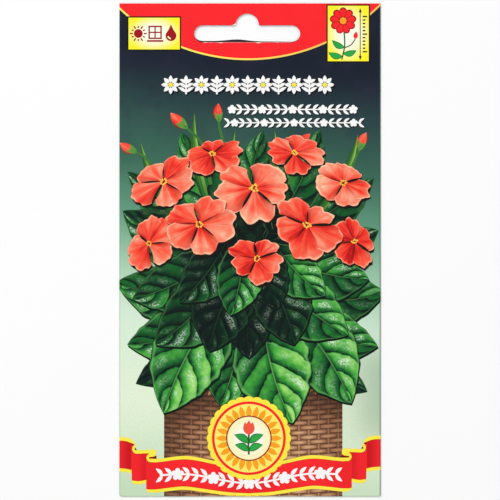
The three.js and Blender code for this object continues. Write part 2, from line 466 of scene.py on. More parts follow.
@dataclass(frozen=True)
class PetalInk(Print):
    """A printed petal: warm red at the throat, lighter outwards, streaked and softly creased."""

    screen: float = 0.04
    throat: Colour = tint(184, 20, 18)
    red: Colour = tint(240, 48, 38)
    coral: Colour = tint(253, 94, 68)
    salmon: Colour = tint(254, 150, 120)
    peach: Colour = tint(255, 206, 168)

    def ink(self, graph: Graph) -> Signal:
        """Radial fade, streaks and the next petal's shade. A tone below zero is the dark under a petal."""
        along, across = graph.pattern()
        tone = graph.mark("tone")
        side = across * 2.0 - 1.0
        out = side.size()
        streaks = graph.cloud(1.0, 4, graph.join(side * 2.6, along * 0.8, tone * 17.0))
        soft = graph.cloud(0.16, 2) - 0.5
        fan = (side * 9.0 + streaks * 2.5).sine() * along.rise(0.15, 0.6) * 0.06
        level = along * 0.44 + tone * 0.46 + (streaks - 0.5) * 0.95 + soft * 0.9 + fan + 0.02
        level = level - side.rise(-0.2, 1.0) * 0.14
        colours = (self.throat, self.red, self.coral, self.salmon, self.peach)
        colour = level.ramp(*zip((0.0, 0.2, 0.44, 0.72, 1.0), colours))
        crease = out.rise(0.0, 0.05).inverse() * along.band(0.1, 0.4, 0.75, 0.95)
        colour = graph.mix(crease * 0.35, colour, self.throat)
        covered = side.rise(0.4, 1.0) * along.rise(0.1, 0.95, 1.0, 0.45) * 0.75
        colour = graph.mix(covered, colour, tint(150, 16, 18))
        curl = along.band(0.72, 0.86, 0.88, 0.95) * streaks.rise(0.42, 0.6)
        colour = graph.mix(curl * 0.4, colour, self.red)
        rim = along.rise(0.92, 0.98) * streaks.rise(0.3, 0.55) * 0.6
        colour = graph.mix(rim, colour, self.peach)
        colour = graph.mix((along.rise(0.985, 1.0) + out.rise(0.97, 1.0)) * 0.3, colour, self.throat)
        return graph.mix(tone.rise(-0.9, -0.4).inverse(), colour, tint(24, 20, 16))


@dataclass(frozen=True)
class ShadeInk(Print):
    """The dark depth between leaves."""

    def ink(self, graph: Graph) -> Signal:
        """Near black with drowned greens."""
        glimpse = graph.cloud(0.32, 4).rise(0.48, 0.72)
        return graph.mix(glimpse * 0.5, tint(7, 18, 15), tint(24, 60, 38))


@dataclass(frozen=True)
class WickerInk(Print):
    """A round basket's side, woven over upright stakes, dark to the left and lit from the right."""

    screen: float = 0.05
    course: float = 1.5  # the height of a row
    stakes: float = 3.0  # from one upright stake to the next
    middle: float = 1.0
    bow: float = 0.0016  # how strongly the rows curve round the side
    dark_side: Point = (-28.0, -8.0)
    lit_side: Point = (16.0, 29.5)
    shadow: Point = (-58.0, -43.0)

    def ink(self, graph: Graph) -> Signal:
        """Weave, roundness and the leaves' shadow."""
        x, y, _ = graph.split(graph.millimetres())
        aside = x - self.middle
        row = (y - aside * aside * self.bow) * (1 / self.course)
        odd = (row * 0.5).fraction().over(0.5)
        phase = (x * (0.5 / self.stakes) + odd * 0.5).fraction()
        over = (phase * math.pi).sine()
        withy = (row.fraction() * math.pi).sine() ** 0.6 * (over**0.7 * 0.62 + 0.3)
        behind = (phase - phase.math("ROUND")).size() * (2 * self.stakes)
        stake = behind.rise(0.42, 0.62).inverse()
        upright = behind.rise(0.0, 0.55, 0.72, 0.3)
        grain = graph.cloud(1.0, 3, graph.join(x * 0.45, y * 3.2)) - 0.5
        round_side = x.rise(*self.dark_side, 0.42, 1.0) * x.rise(*self.lit_side, 1.0, 0.66)
        under_leaves = y.rise(*self.shadow, 1.0, 0.3)
        level = (withy * stake.inverse() + upright * stake + grain * 0.36) * round_side * under_leaves
        return level.ramp(
            (0.0, tint(26, 18, 14)), (0.28, tint(106, 70, 50)),
            (0.6, tint(170, 120, 86)), (1.0, tint(224, 180, 138)),
        )


@dataclass(frozen=True)
class WithyInk(Print):
    """One strand of the basket's twisted rim."""

    def ink(self, graph: Graph) -> Signal:
        """Round and streaked."""
        along, across = graph.pattern()
        tone = graph.mark("tone")
        streaks = graph.cloud(1.0, 3, graph.join(along * 1.5, across * 4.0, tone * 13.0)) - 0.5
        level = (across * math.pi).sine() * (tone * 0.25 + 0.5) + across.rise(0.4, 0.9) * 0.2 + streaks * 0.5
        return level.ramp((0.0, tint(34, 22, 15)), (0.45, tint(124, 82, 56)), (1.0, tint(206, 158, 112)))


@dataclass(frozen=True)
class RibbonInk(Print):
    """Satin ribbon red: darker where the band turns away, crimson towards the folds of its outer tails."""

    middle: float = 0.0
    red: Colour = tint(253, 40, 45)

    # How far from the middle each tail's shade starts, is deepest and ends.
    inner_shade: Triple = (31.45, 31.6, 34.2)
    outer_shade: Triple = (36.0, 36.2, 40.6)

    def ink(self, graph: Graph) -> Signal:
        """Slow light and dark across the band, the shade on its tails, and painted shade at the packet's
        right fold.
        """
        x, _, _ = graph.split(graph.millimetres())
        away = (x - self.middle).size()
        wave = (away * 0.22 + 1.1).sine().rise(-0.6, 1.0) * 0.22
        start, deepest, end = self.inner_shade
        inner_turn = away.band(start, deepest, deepest, end) * 0.4
        start, deepest, end = self.outer_shade
        outer_turn = away.rise(start, deepest) * away.rise(deepest, end, 0.8, 0.2)
        # Painted shade where the sheet turns round the packet's right fold.
        turned = x.rise(FORM.side - 0.4, FORM.side - 0.05, 0.0, 0.5)
        satin = graph.mix(wave + inner_turn + outer_turn, self.red, tint(196, 16, 28))
        return graph.mix(turned, satin, tint(90, 20, 30))


@dataclass(frozen=True)
class PaperFinish(Finish):
    """Bare white paper stock, as at a cut edge."""

    def dress(self, graph: Graph) -> None:
        """Fibrous white."""
        fibre = graph.cloud(6.0, 4)
        white = graph.mix(fibre, tint(246, 243, 236), tint(226, 221, 210))
        graph.surface(white, fibre.rise(0.2, 0.8, 0.8, 0.95))
        graph.bump(fibre, 0.02)


@dataclass(frozen=True)
class LiningFinish(Finish):
    """The sheet's grey barrier-coated inside, with a band of painted shade behind the hang slot."""

    # Where the painted shade behind the slot lies: its rows, and how far it reaches to each side.
    slot_shade_rows: tuple[float, float, float, float] = (60.5, 63.0, 66.5, 68.0)
    slot_shade_reach: Point = (15.5, 19.0)

    def dress(self, graph: Graph) -> None:
        """Dull grey with faint rolling marks and the band of painted shade behind the slot."""
        x, y, _ = graph.split(graph.millimetres())
        rolled = graph.cloud(1.0, 3, graph.join(x * 2.0, y * 0.08))
        # Painted shade: the lining darkens behind the slot's lower edge, where the plies stand apart.
        slot_shade = y.band(*self.slot_shade_rows) * x.size().rise(*self.slot_shade_reach).inverse()
        grey = graph.mix(rolled, tint(62, 52, 62), tint(92, 82, 92))
        colour = graph.mix(slot_shade * 0.95, grey, tint(44, 12, 28))
        graph.surface(colour, rolled.rise(0.2, 0.8, 0.45, 0.6))
        graph.bump(rolled, 0.01)


@dataclass(frozen=True)
class GlassineFinish(Finish):
    """Thin translucent glassine, smooth with a milky mottle."""

    def dress(self, graph: Graph) -> None:
        """Milky and half clear."""
        milk = graph.cloud(0.5, 4)
        white = graph.mix(milk, tint(244, 241, 228), tint(226, 220, 200))
        graph.surface(white, milk.rise(0.2, 0.8, 0.3, 0.45))
        graph.shader.inputs["Transmission Weight"].default_value = 0.2
        graph.shader.inputs["IOR"].default_value = 1.45
        graph.bump(graph.cloud(0.3, 3), 0.05)


@dataclass(frozen=True)
class SeedCoatFinish(Finish):
    """A dry brown seed coat, fringed and pitted."""

    def dress(self, graph: Graph) -> None:
        """Mottled browns and pits."""
        pits = graph.cloud(2.6, 4)
        brown = pits.ramp((0.25, tint(38, 22, 12)), (0.55, tint(84, 54, 32)), (0.8, tint(134, 94, 58)))
        graph.surface(brown, pits.rise(0.2, 0.8, 0.7, 0.9))
        graph.bump(pits, 0.12)


@dataclass(frozen=True)
class FloorFinish(Finish):
    """A plain pale tabletop."""

    def dress(self, graph: Graph) -> None:
        """Almost even white."""
        drift = graph.cloud(0.01, 2)
        graph.surface(graph.mix(drift, (0.98, 0.98, 0.98), (0.965, 0.965, 0.965)), 0.9)
        graph.shader.inputs["Specular IOR Level"].default_value = 0.1


def spot(name: str, colour: tuple[int, int, int], darker: tuple[int, int, int]) -> FlatInk:
    """A spot ink of a display colour that drifts towards a darker one."""
    return FlatInk(name, colour=tint(*colour), darker=tint(*darker))


class Inks:
    """The inks that more than one part of the print uses."""

    RED = spot("header_red", (253, 40, 45), (248, 32, 40))
    GOLD = spot("hem_yellow", (255, 236, 72), (254, 224, 52))
    PALE_GOLD = spot("border_yellow", (255, 240, 112), (255, 232, 92))
    WHITE = spot("opaque_white", (252, 252, 250), (244, 244, 242))
    BLACK = spot("key_black", (24, 18, 16), (36, 28, 24))
    SHADOW = spot("heading_shadow", (14, 16, 24), (20, 24, 32))
    MAROON = spot("label_maroon", (160, 20, 28), (142, 16, 24))
    FOLD_RED = spot("ribbon_fold_red", (128, 8, 16), (104, 6, 12))
    HEM_EDGE = spot("ribbon_hem_edge", (184, 34, 22), (164, 26, 18))
    LEAF = spot("label_green", (44, 172, 74), (30, 140, 62))
    STEM = spot("stem_green", (46, 104, 44), (34, 84, 36))
    STALK = spot("stalk_green", (64, 118, 56), (38, 82, 40))
    CUP = spot("cup_green", (96, 152, 66), (60, 112, 48))
    POLLEN = spot("pollen_yellow", (255, 206, 84), (244, 160, 52))
    AMBER = spot("ray_orange", (255, 168, 36), (252, 140, 28))
    CORAL = spot("bud_coral", (246, 92, 66), (232, 70, 50))
    MINT = spot("back_mint", (216, 236, 214), (206, 230, 206))
    SEA = spot("back_sea_green", (58, 112, 92), (48, 98, 82))
    CREAM = spot("back_cream", (250, 248, 232), (242, 240, 222))
    RULE = spot("back_rule_grey", (120, 142, 128), (104, 128, 114))


# ------------ The packet's form


@dataclass(frozen=True)
class PacketForm:
    """Where the folded sheet's outer surface lies. Sizes are those of the solid model."""

    width: float
    height: float
    paper: float = 0.12
    fold: float = 0.6  # the thickness over a fold
    pillow: float = 1.35  # how far the filled pocket swells
    fullness: Point = (2.0, 2.6)  # how squarely it fills out, across and along
    ease: Point = (1.5, 1.6)  # how softly it leaves the folds, across and along
    seam_inset: float = 1.2
    tab: float = 10.8
    flap: float = 14.0
    flap_taper: float = 3.0
    flap_ramp: float = 5.5
    seal_from_top: float = 29.5
    seal_width: float = 5.0
    seal_thickness: float = 0.34
    seal_clear: float = 3.2  # from the glue line's ends to the folds
    seal_fade: Point = (6.5, 3.0)  # where its dip fades, from the folds and beside the line
    seal_reach: float = 6.0  # the sheet is flat this far above the line, and cockles this far below
    slot_length: float = 32.5
    slot_height: float = 5.2
    slot_from_top: float = 6.7
    slot_offset: float = -0.87
    hump_radius: float = 3.6
    cockle: float = 0.025
    cockle_span: Point = (13.0, 17.0)
    lip: float = 0.33  # how far the slot's two lower edges lie apart at the middle
    lip_slope: float = 0.0085
    tear: float = 0.55  # how much further at the tear
    tear_at: float = -4.0
    tear_span: float = 4.2

    @property
    def side(self) -> float:
        """Half the width."""
        return self.width / 2

    @property
    def top(self) -> float:
        """The header's cut edge."""
        return self.height / 2

    @property
    def bottom(self) -> float:
        """The bottom fold."""
        return -self.height / 2

    @property
    def seal_y(self) -> float:
        """The middle of the glue line."""
        return self.top - self.seal_from_top

    def front(self, x: float, y: float) -> float:
        """Height of the printed front over a place.

        Args:
            x, y: the place.

        Returns:
            The height above the ground.
        """
        low = self.seal_y - self.seal_width / 2
        middle, half = (self.bottom + low) / 2, (low - self.bottom) / 2
        across = 1 - min(1.0, abs(x) / self.side) ** self.fullness[0]
        along = 1 - min(1.0, abs(y - middle) / half) ** self.fullness[1]
        swell = across ** self.ease[0] * along ** self.ease[1]
        fade_from, fade = self.seal_fade
        near = 1 - smoothstep(self.seal_width / 2, self.seal_width / 2 + fade, abs(y - self.seal_y))
        inside = 1 - smoothstep(self.side - fade_from, self.side - self.seal_clear, abs(x))
        dip = (self.fold - self.seal_thickness) * near * inside
        place = Vector((x / self.cockle_span[0], y / self.cockle_span[1], 4.2))
        ripple = self.cockle * noise.noise(place) * min(1.0, across * 3)
        return self.fold + self.pillow * swell - dip + (ripple if y < self.seal_y - self.seal_reach else 0.0)

    def facet(self, x: float, y: float) -> float:
        """Height of the sheet's own flat facet over a place, so that ink laid there never sinks into it.

        Args:
            x, y: the place.

        Returns:
            The height above the ground, straight between the lines that the sheet is divided on.
        """
        spans = []
        for value, low, high in ((x, -self.side, self.side), (y, self.bottom, self.top)):
            before = math.floor(value / GRID)
            near, far = (min(high, max(low, step * GRID)) for step in (before, before + 1))
            spans.append((near, far, (value - near) / (far - near) if far > near else 0.0))
        (left, right, across), (under, over, along) = spans
        low_row = level_at(left, under) * (1 - across) + level_at(right, under) * across
        high_row = level_at(left, over) * (1 - across) + level_at(right, over) * across
        return low_row * (1 - along) + high_row * along

    def back_rise(self, y: float) -> float:
        """How far the glued flap holds the back panel up at a height."""
        edge = self.bottom + self.flap
        return self.paper * (1 - min(1.0, max(0.0, (y - edge) / self.flap_ramp)))

    @property
    def turn(self) -> float:
        """The length of sheet that goes round a fold."""
        return math.pi * self.fold / 2

    def wrap(self, x: float, y: float, lift: float = 0.0) -> Vector:
        """Lays a place of the flat sheet on the packet. Past a fold it goes round and on over the back.

        Args:
            x, y: the place on the flat sheet, from the middle of the front.
            lift: how far off the outer surface.

        Returns:
            The place in space.
        """
        radius = self.fold / 2
        at = Vector((x, y, self.facet(x, y) + BACK_CLEAR))
        over_side = abs(x) - (self.side - radius)
        over_end = self.bottom + radius - y
        hand = math.copysign(1, x)
        plies = self.paper if x > 0 else 0.0
        for over, axis, outward, under in (
            (over_side, 0, hand, plies + self.back_rise(y)),
            (over_end, 1, -1, 0.0),
        ):
            if over <= 0:
                continue
            angle = min(over / radius, math.pi)
            edge = (self.side if axis == 0 else -self.bottom) - radius
            out = (radius + lift) * math.sin(angle) - max(0.0, over - self.turn)
            at[axis] = outward * (edge + out)
            at.z = self.fold + BACK_CLEAR - (self.fold - under) / 2 * (1 - math.cos(angle))
            return at + Vector((0, 0, lift * math.cos(angle)))
        return at + Vector((0, 0, lift))

    def lip_gap(self, x: float) -> float:
        """How far the back panel's slot edge stands over the front's lower one."""
        torn = self.tear * math.exp(-(((x - self.tear_at) / self.tear_span) ** 2))
        return self.lip - self.lip_slope * x + torn

    def slot(
        self, lower: Callable[[float], float] = lambda x: 0.0, steps: int = SLOT_STEPS
    ) -> list[Point]:
        """The hang slot's outline, anticlockwise from the left end of its straight lower edge.

        Args:
            lower: how far the lower edge lies below its place, for each x.
            steps: along the lower edge.

        Returns:
            The outline's points.
        """
        high = self.top - self.slot_from_top
        radius = self.slot_height / 2
        reach = self.slot_length / 2 - radius
        middle = high - radius
        left = self.slot_offset - reach
        points = [(left + 2 * reach * i / steps, middle - radius) for i in range(steps + 1)]
        points += arc((self.slot_offset + reach, middle), radius, -90, 90, 10)[1:]
        points += arc((self.slot_offset, high), self.hump_radius, 0, 180, 16)
        points += arc((left, middle), radius, 90, 270, 10)[:-1]
        return [(x, y - lower(x) * min(1.0, max(0.0, (middle - y) / radius))) for x, y in points]


def polar(centre: Point, reach: float, degrees: float) -> Point:
    """The place at a distance and an angle from a centre."""
    angle = math.radians(degrees)
    return centre[0] + reach * math.cos(angle), centre[1] + reach * math.sin(angle)


def spoke(centre: Point, span: Point, degrees: float) -> tuple[Point, Point]:
    """The two ends of a spoke that spans some distances from a centre."""
    return polar(centre, span[0], degrees), polar(centre, span[1], degrees)


def blend(first: Point, second: Point, share: float) -> Point:
    """The place a share of the way between two."""
    return first[0] + (second[0] - first[0]) * share, first[1] + (second[1] - first[1]) * share


def arc(centre: Point, radius: float, start: float, end: float, count: int) -> list[Point]:
    """Points along a circle in equal steps, from one angle in degrees to another."""
    return [polar(centre, radius, start + (end - start) * i / count) for i in range(count + 1)]


def disc(centre: Point, radius: float, count: int = 40) -> list[Point]:
    """A full circle's outline."""
    return arc(centre, radius, 0, 360, count)[:-1]


def rosette(centre: Point, radius: float, lobes: int, depth: float, turn: float = 0.0) -> list[Point]:
    """A lobed round outline.

    Args:
        centre, radius: its place and reach.
        lobes: how many round lobes.
        depth: how far the waists between them go in, as a share of the radius.
        turn: degrees.

    Returns:
        The outline.
    """
    angles = [360 * i / (lobes * 12) for i in range(lobes * 12)]
    swells = [abs(math.cos(math.radians(lobes * angle / 2))) ** 0.7 for angle in angles]
    reaches = [radius * (1 - depth + depth * swell) for swell in swells]
    return [polar(centre, reach, angle + turn) for reach, angle in zip(reaches, angles)]


def block(left: float, right: float, low: float, high: float) -> list[Point]:
    """A rectangle's outline."""
    return [(left, low), (right, low), (right, high), (left, high)]


def blade(root: Point, tip: Point, width: float, bow: float = 0.0, count: int = 10) -> list[Point]:
    """A pointed leaf outline.

    Args:
        root, tip: its two ends.
        width: its widest.
        bow: how far the middle swings to the left.
        count: steps along each side.

    Returns:
        The outline.
    """
    run = Vector(tip) - Vector(root)
    across = Vector((-run.y, run.x)).normalized()
    sides: tuple[list[Point], list[Point]] = ([], [])
    for i in range(count + 1):
        share = i / count
        spine = Vector(root) + run * share + across * bow * 4 * share * (1 - share)
        half = width / 2 * math.sin(math.pi * share**0.85) ** 0.9
        for hand, points in ((-1, sides[0]), (1, sides[1])):
            point = spine + across * half * hand
            points.append((point.x, point.y))
    return sides[0] + sides[1][-2:0:-1]


def curve_through(points: Outline, steps: int) -> list[Point]:
    """A smooth curve through some points.

    Args:
        points: the places that it passes.
        steps: how many steps between one place and the next.

    Returns:
        The curve's points.
    """
    known = [Vector(point) for point in points]
    known = [known[0] * 2 - known[1], *known, known[-1] * 2 - known[-2]]
    path = []
    for before, start, end, after in zip(known, known[1:], known[2:], known[3:]):
        for i in range(steps):
            share = i / steps
            place = start * 2 + (end - before) * share
            place += (before * 2 - start * 5 + end * 4 - after) * share**2
            place += (start * 3 - before - end * 3 + after) * share**3
            place /= 2
            path.append((place.x, place.y))
    return [*path, tuple(points[-1])]


def heading(path: Outline, i: int) -> Vector:
    """Which way a path runs at one of its points."""
    return Vector(path[min(i + 1, len(path) - 1)]) - Vector(path[max(i - 1, 0)])


def shifted(outline: Outline, dx: float, dy: float) -> list[Point]:
    """An outline moved over."""
    return [(x + dx, y + dy) for x, y in outline]


class Face(Enum):
    """The printed faces of the packet."""

    FRONT = 1
    BACK = -1


LOWEST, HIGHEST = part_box("envelope")
FORM = PacketForm(width=(HIGHEST[0] - LOWEST[0]) / MM, height=(HIGHEST[1] - LOWEST[1]) / MM)


@cache
def level_at(x: float, y: float) -> float:
    """The front's height over a crossing of the sheet's lines."""
    return FORM.front(x, y)


def new_object(name: str, data: bpy.types.ID) -> Object:
    """An object of the scene that holds some data."""
    made = bpy.data.objects.new(name, data)
    bpy.context.scene.collection.objects.link(made)
    return made


def finish_piece(
    mesh: BMesh, name: str, finishes: Sequence[Finish]
) -> Object:
    """Makes an object in metres out of a mesh in millimetres.

    Args:
        mesh: the mesh, which is used up.
        name: the piece's name.
        finishes: one for each material number of the mesh.

    Returns:
        The object, riding on the packet.
    """
    bmesh.ops.scale(mesh, vec=(MM, MM, MM), verts=mesh.verts)
    for each in mesh.faces:
        each.smooth = True
    data = bpy.data.meshes.new(name)
    mesh.to_mesh(data)
    mesh.free()
    piece = new_object(name, data)
    for each in finishes:
        data.materials.append(each.material())
    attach(piece, "root")
    LOG.info("%s: %d faces", name, len(data.polygons))
    return piece


def slice_mesh(mesh: BMesh, at: float, axis: int, clear: int = 0) -> None:
    """Cuts a flat mesh on a line across axis 0 or 1, and clears what lies past it (1) or before it (-1)."""
    normal = Vector((1, 0, 0)) if axis == 0 else Vector((0, 1, 0))
    bmesh.ops.bisect_plane(
        mesh,
        geom=[*mesh.verts, *mesh.edges, *mesh.faces],
        dist=1e-5,
        plane_co=normal * at,
        plane_no=normal,
        clear_outer=clear > 0,
        clear_inner=clear < 0,
    )


class Film:
    """An ink film on one face of the packet. While it is flat, a point's z is its rise over its level."""

    WRAP = 0.42  # the share of a fold that the front's ink goes round
    BACK_MARGIN = 1.5  # from the back's ink to the folds
    SPAN = 1.4 * GRID  # a film with a longer edge is divided
    FOLD_LINES = (0.3, 0.15, 0.02)  # how far before a fold it is divided again

    def __init__(self, name: str, finish: Finish, level: float, face: Face = Face.FRONT) -> None:
        """Starts an empty film.

        Args:
            name: the piece's name.
            finish: its ink.
            level: how many films lie under it.
            face: the face that it is printed on.
        """
        self.name = name
        self.finish = finish
        self.level = level
        self.face = face
        self.mesh = bmesh.new()
        self.tone = self.mesh.verts.layers.float.new("tone")
        self.map = self.mesh.loops.layers.uv.new("pattern")

    def area(self, *outlines: Outline, rise: float = 0.0) -> "Film":
        """Adds an outline, less the holes that follow it.

        Args:
            outlines: the outer outline, then any holes.
            rise: how many films it lies above the film's level.

        Returns:
            The film.
        """
        mesh = self.mesh
        edges = []
        for outline in outlines:
            corners = [mesh.verts.new((x, y, rise)) for x, y in outline]
            edges += [mesh.edges.new((a, b)) for a, b in zip(corners, corners[1:] + corners[:1])]
        bmesh.ops.triangle_fill(mesh, use_beauty=True, use_dissolve=False, edges=edges)
        return self

    def stroke(
        self, path: Outline, width: float | Callable[[float], float], rise: float = 0.0
    ) -> "Film":
        """Adds a stroke along a path.

        Args:
            path: the middle of the stroke.
            width: its width, or a rule that gives it at each share of the path.
            rise: how many films it lies above the film's level.

        Returns:
            The film.
        """
        last = len(path) - 1

        def place(along: float, across: float) -> Place:
            i = round(along * last)
            ahead = heading(path, i)
            side = Vector((-ahead.y, ahead.x)).normalized()
            point = Vector(path[i]) + side * (width(along) if callable(width) else width) * (across - 0.5)
            return point.x, point.y, rise

        return self.patch(last, 1, place, 0.0)

    def patch(self, rows: int, columns: int, place: Placer, tone: float) -> "Film":
        """Adds a shape that is mapped along and across.

        Args:
            rows, columns: steps along and across it.
            place: where its points lie.
            tone: the number that its points carry.

        Returns:
            The film.
        """
        made = bmesh.ops.create_grid(self.mesh, x_segments=rows, y_segments=columns, size=0.5)["verts"]
        for each in {face for vert in made for face in vert.link_faces}:
            for loop in each.loops:
                loop[self.map].uv = (loop.vert.co.x + 0.5, loop.vert.co.y + 0.5)
        for vert in made:
            vert.co = place(vert.co.x + 0.5, vert.co.y + 0.5)
            vert[self.tone] = tone
        return self

    def shadow(self, rows: int, columns: int, place: Placer, offset: Point, rise: float) -> "Film":
        """Adds the dark beside and under a mapped shape, as a patch whose tone is below zero.

        Args:
            rows, columns: its steps.
            place: the shape's own places.
            offset: how far the shadow falls.
            rise: its rise over the film's level.

        Returns:
            The film.
        """

        def fallen(along: float, across: float) -> Place:
            x, y, _ = place(along, across)
            return x + offset[0], y + offset[1], rise

        return self.patch(rows, columns, fallen, -1.0)

    def extent(self, axis: int) -> tuple[float, float]:
        """Where the film starts and ends along an axis."""
        values = [vert.co[axis] for vert in self.mesh.verts]
        return min(values), max(values)

    def trim(self) -> None:
        """Cuts off what would hang over the face's edges."""
        form = FORM
        front = self.face is Face.FRONT
        wrapped = form.turn * self.WRAP - form.fold / 2 if front else -self.BACK_MARGIN
        edge = form.side + wrapped
        for axis, low, high in ((0, -edge, edge), (1, form.bottom - wrapped, form.top)):
            start, end = self.extent(axis)
            if start < low:
                slice_mesh(self.mesh, low, axis, -1)
            if end > high:
                slice_mesh(self.mesh, high, axis, 1)

    def slice(self) -> None:
        """Divides the film on the sheet's lines where it spans them or where the sheet bends sharply."""
        mesh, form = self.mesh, FORM
        spans = max(edge.calc_length() for edge in mesh.edges) > self.SPAN
        bends = any(abs(vert.co.y - form.seal_y) < form.seal_reach + 1 for vert in mesh.verts)
        if spans or bends:
            for axis, limit in ((0, form.side * 2), (1, form.seal_y + form.seal_reach)):
                start, end = self.extent(axis)
                for at in lines(start, min(end, limit)):
                    slice_mesh(mesh, at, axis)
        for axis, fold in ((0, form.side), (0, -form.side), (1, form.bottom)):
            start, end = self.extent(axis)
            for inward in self.FOLD_LINES:
                at = fold - math.copysign(inward, fold)
                if start < at < end:
                    slice_mesh(mesh, at, axis)

    def lay(self) -> Object:
        """Trims the film to the packet and lays it on the paper.

        Returns:
            The finished piece.
        """
        self.trim()
        self.slice()
        mesh = self.mesh
        inside_out = [each for each in mesh.faces if each.normal.z * self.face.value < 0]
        bmesh.ops.reverse_faces(mesh, faces=inside_out)
        for vert in mesh.verts:
            x, y, rise = vert.co
            lift = (self.level + rise) * INK
            if self.face is Face.FRONT:
                vert.co = FORM.wrap(x, y, lift)
            else:
                vert.co.z = BACK_CLEAR + FORM.back_rise(y) - lift
        return finish_piece(mesh, self.name, [self.finish])


# ------------ The sheet


@dataclass
class Envelope:
    """The one folded and glued sheet: front, back panel, side tab and bottom flap."""

    window: tuple[float, float, float, float] = (-18.0, 18.0, 61.5, 73.5)
    back_step: float = 3.0
    fold_steps: int = 8
    flap_steps: int = 9
    flap_inset: float = 0.6
    glue_gap: float = 0.006

    @property
    def flat_left(self) -> float:
        """Where the back panel's free edge lies on the flat sheet."""
        return -(FORM.side - FORM.fold / 2) - FORM.turn - (2 * FORM.side - FORM.fold / 2 - FORM.seam_inset)

    @property
    def flat_right(self) -> float:
        """Where the tab's free edge lies on the flat sheet."""
        return FORM.side - FORM.fold / 2 + FORM.turn + FORM.tab - FORM.fold / 2

    def behind(self, x: float) -> float:
        """Where a place of the back panel lies on the flat sheet."""
        return -2 * (FORM.side - FORM.fold / 2) - FORM.turn - x

    def creases(self) -> list[float]:
        """The upright lines that the flat sheet is divided on."""
        edge = FORM.side - FORM.fold / 2
        rounds = [FORM.turn * i / self.fold_steps for i in range(self.fold_steps + 1)]
        front = lines(-edge, edge)
        back = [self.behind(x) for x in lines(-edge, FORM.side - FORM.seam_inset, self.back_step)]
        tab = lines(edge + FORM.turn, self.flat_right, self.back_step)
        return front + back + tab + [edge + r for r in rounds] + [-edge - r for r in rounds]

    def punch(self, mesh: BMesh, window: Sequence[float], outline: Outline) -> None:
        """Cuts a slot through the flat sheet.

        Args:
            mesh: the flat sheet.
            window: the left, right, low and high lines around the slot.
            outline: the slot.
        """
        left, right, low, high = window

        def inside(place: Vector) -> bool:
            return left - NEAR <= place.x <= right + NEAR and low - NEAR <= place.y <= high + NEAR

        cells = [each for each in mesh.faces if inside(each.calc_center_median())]
        bmesh.ops.delete(mesh, geom=cells, context="FACES")
        rim = [e for e in mesh.edges if e.is_boundary and all(inside(vert.co) for vert in e.verts)]
        corners = [mesh.verts.new((x, y, 0)) for x, y in outline]
        rim += [mesh.edges.new((a, b)) for a, b in zip(corners, corners[1:] + corners[:1])]
        bmesh.ops.triangle_fill(mesh, use_beauty=True, use_dissolve=False, edges=rim)

    def flat_sheet(self) -> BMesh:
        """The sheet as it is cut, lying flat with its printed side up.

        Returns:
            Its mesh, from the middle of the front.
        """
        low = FORM.bottom + FORM.fold / 2
        mesh = bmesh.new()
        sheet = block(self.flat_left, self.flat_right, low, FORM.top)
        mesh.faces.new([mesh.verts.new((x, y, 0)) for x, y in sheet])
        for at in self.creases():
            slice_mesh(mesh, at, 0)
        for at in [*lines(low, FORM.top), FORM.bottom + FORM.flap + FORM.flap_ramp]:
            slice_mesh(mesh, at, 1)
        left, right, under, over = self.window
        self.punch(mesh, self.window, FORM.slot())
        through = [(self.behind(x), y) for x, y in FORM.slot(lambda x: -FORM.lip_gap(x))]
        self.punch(mesh, (self.behind(right), self.behind(left), under, over), through)
        self.add_flap(mesh, low)
        upside_down = [each for each in mesh.faces if each.normal.z < 0]
        bmesh.ops.reverse_faces(mesh, faces=upside_down)
        # The flap's parts come in no fixed order, so all parts are put in rows, from the lowest up.
        row = Vector((1, self.flat_right - self.flat_left, 0))
        mesh.verts.sort(key=lambda vert: row.dot(vert.co))
        mesh.edges.sort(key=lambda edge: row.dot(edge.verts[0].co + edge.verts[1].co))
        mesh.faces.sort(key=lambda each: row.dot(each.calc_center_median()))
        return mesh

    def add_flap(self, mesh: BMesh, low: float) -> None:
        """Draws the bottom flap out of the front's lower edge.

        Args:
            mesh: the flat sheet.
            low: its lower edge.
        """
        half = FORM.side - FORM.fold / 2 + NEAR

        def on_hem(place: Vector) -> bool:
            return abs(place.y - low) < NEAR / 10 and abs(place.x) < half

        hem = [edge for edge in mesh.edges if all(on_hem(vert.co) for vert in edge.verts)]
        straight = FORM.flap - FORM.fold / 2
        rows = [FORM.turn / self.fold_steps] * self.fold_steps
        rows += [straight / self.flap_steps] * self.flap_steps
        gone, reach = 0.0, half - self.flap_inset
        for row in rows:
            drawn = bmesh.ops.extrude_edge_only(mesh, edges=hem)["geom"]
            hem = [each for each in drawn if isinstance(each, BMEdge)]
            points = [each for each in drawn if isinstance(each, BMVert)]
            bmesh.ops.translate(mesh, vec=(0, -row, 0), verts=points)
            gone += row
            taper = FORM.flap_taper * max(0.0, gone - FORM.turn) / straight
            wide = max(abs(vert.co.x) for vert in points)
            bmesh.ops.scale(mesh, vec=((reach - taper) / wide, 1, 1), verts=points)

    def build(self) -> Object:
        """Cuts, prints and folds the sheet.

        Returns:
            The finished envelope.
        """
        mesh = self.flat_sheet()
        half_turn = FORM.side - FORM.fold / 2 + FORM.turn / 2
        under = FORM.bottom + FORM.fold / 2 - FORM.turn / 2
        for each in mesh.faces:
            middle = each.calc_center_median()
            each.material_index = 0 if abs(middle.x) < half_turn and middle.y > under else 1
        for vert in mesh.verts:
            vert.co = FORM.wrap(vert.co.x, vert.co.y)
        finishes = [
            BackdropInk("backdrop"),
            Inks.MINT,
            LiningFinish("sheet_lining"),
            LiningFinish("sheet_lining"),
            PaperFinish("cut_paper"),
        ]
        piece = finish_piece(mesh, "printed_sheet", finishes)
        ply = piece.modifiers.new("ply", "SOLIDIFY")
        ply.thickness = (FORM.paper - self.glue_gap) * MM
        ply.offset = -1
        ply.material_offset = 2
        ply.material_offset_rim = 4
        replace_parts(piece, "envelope")
        return piece


# ------------ The front print


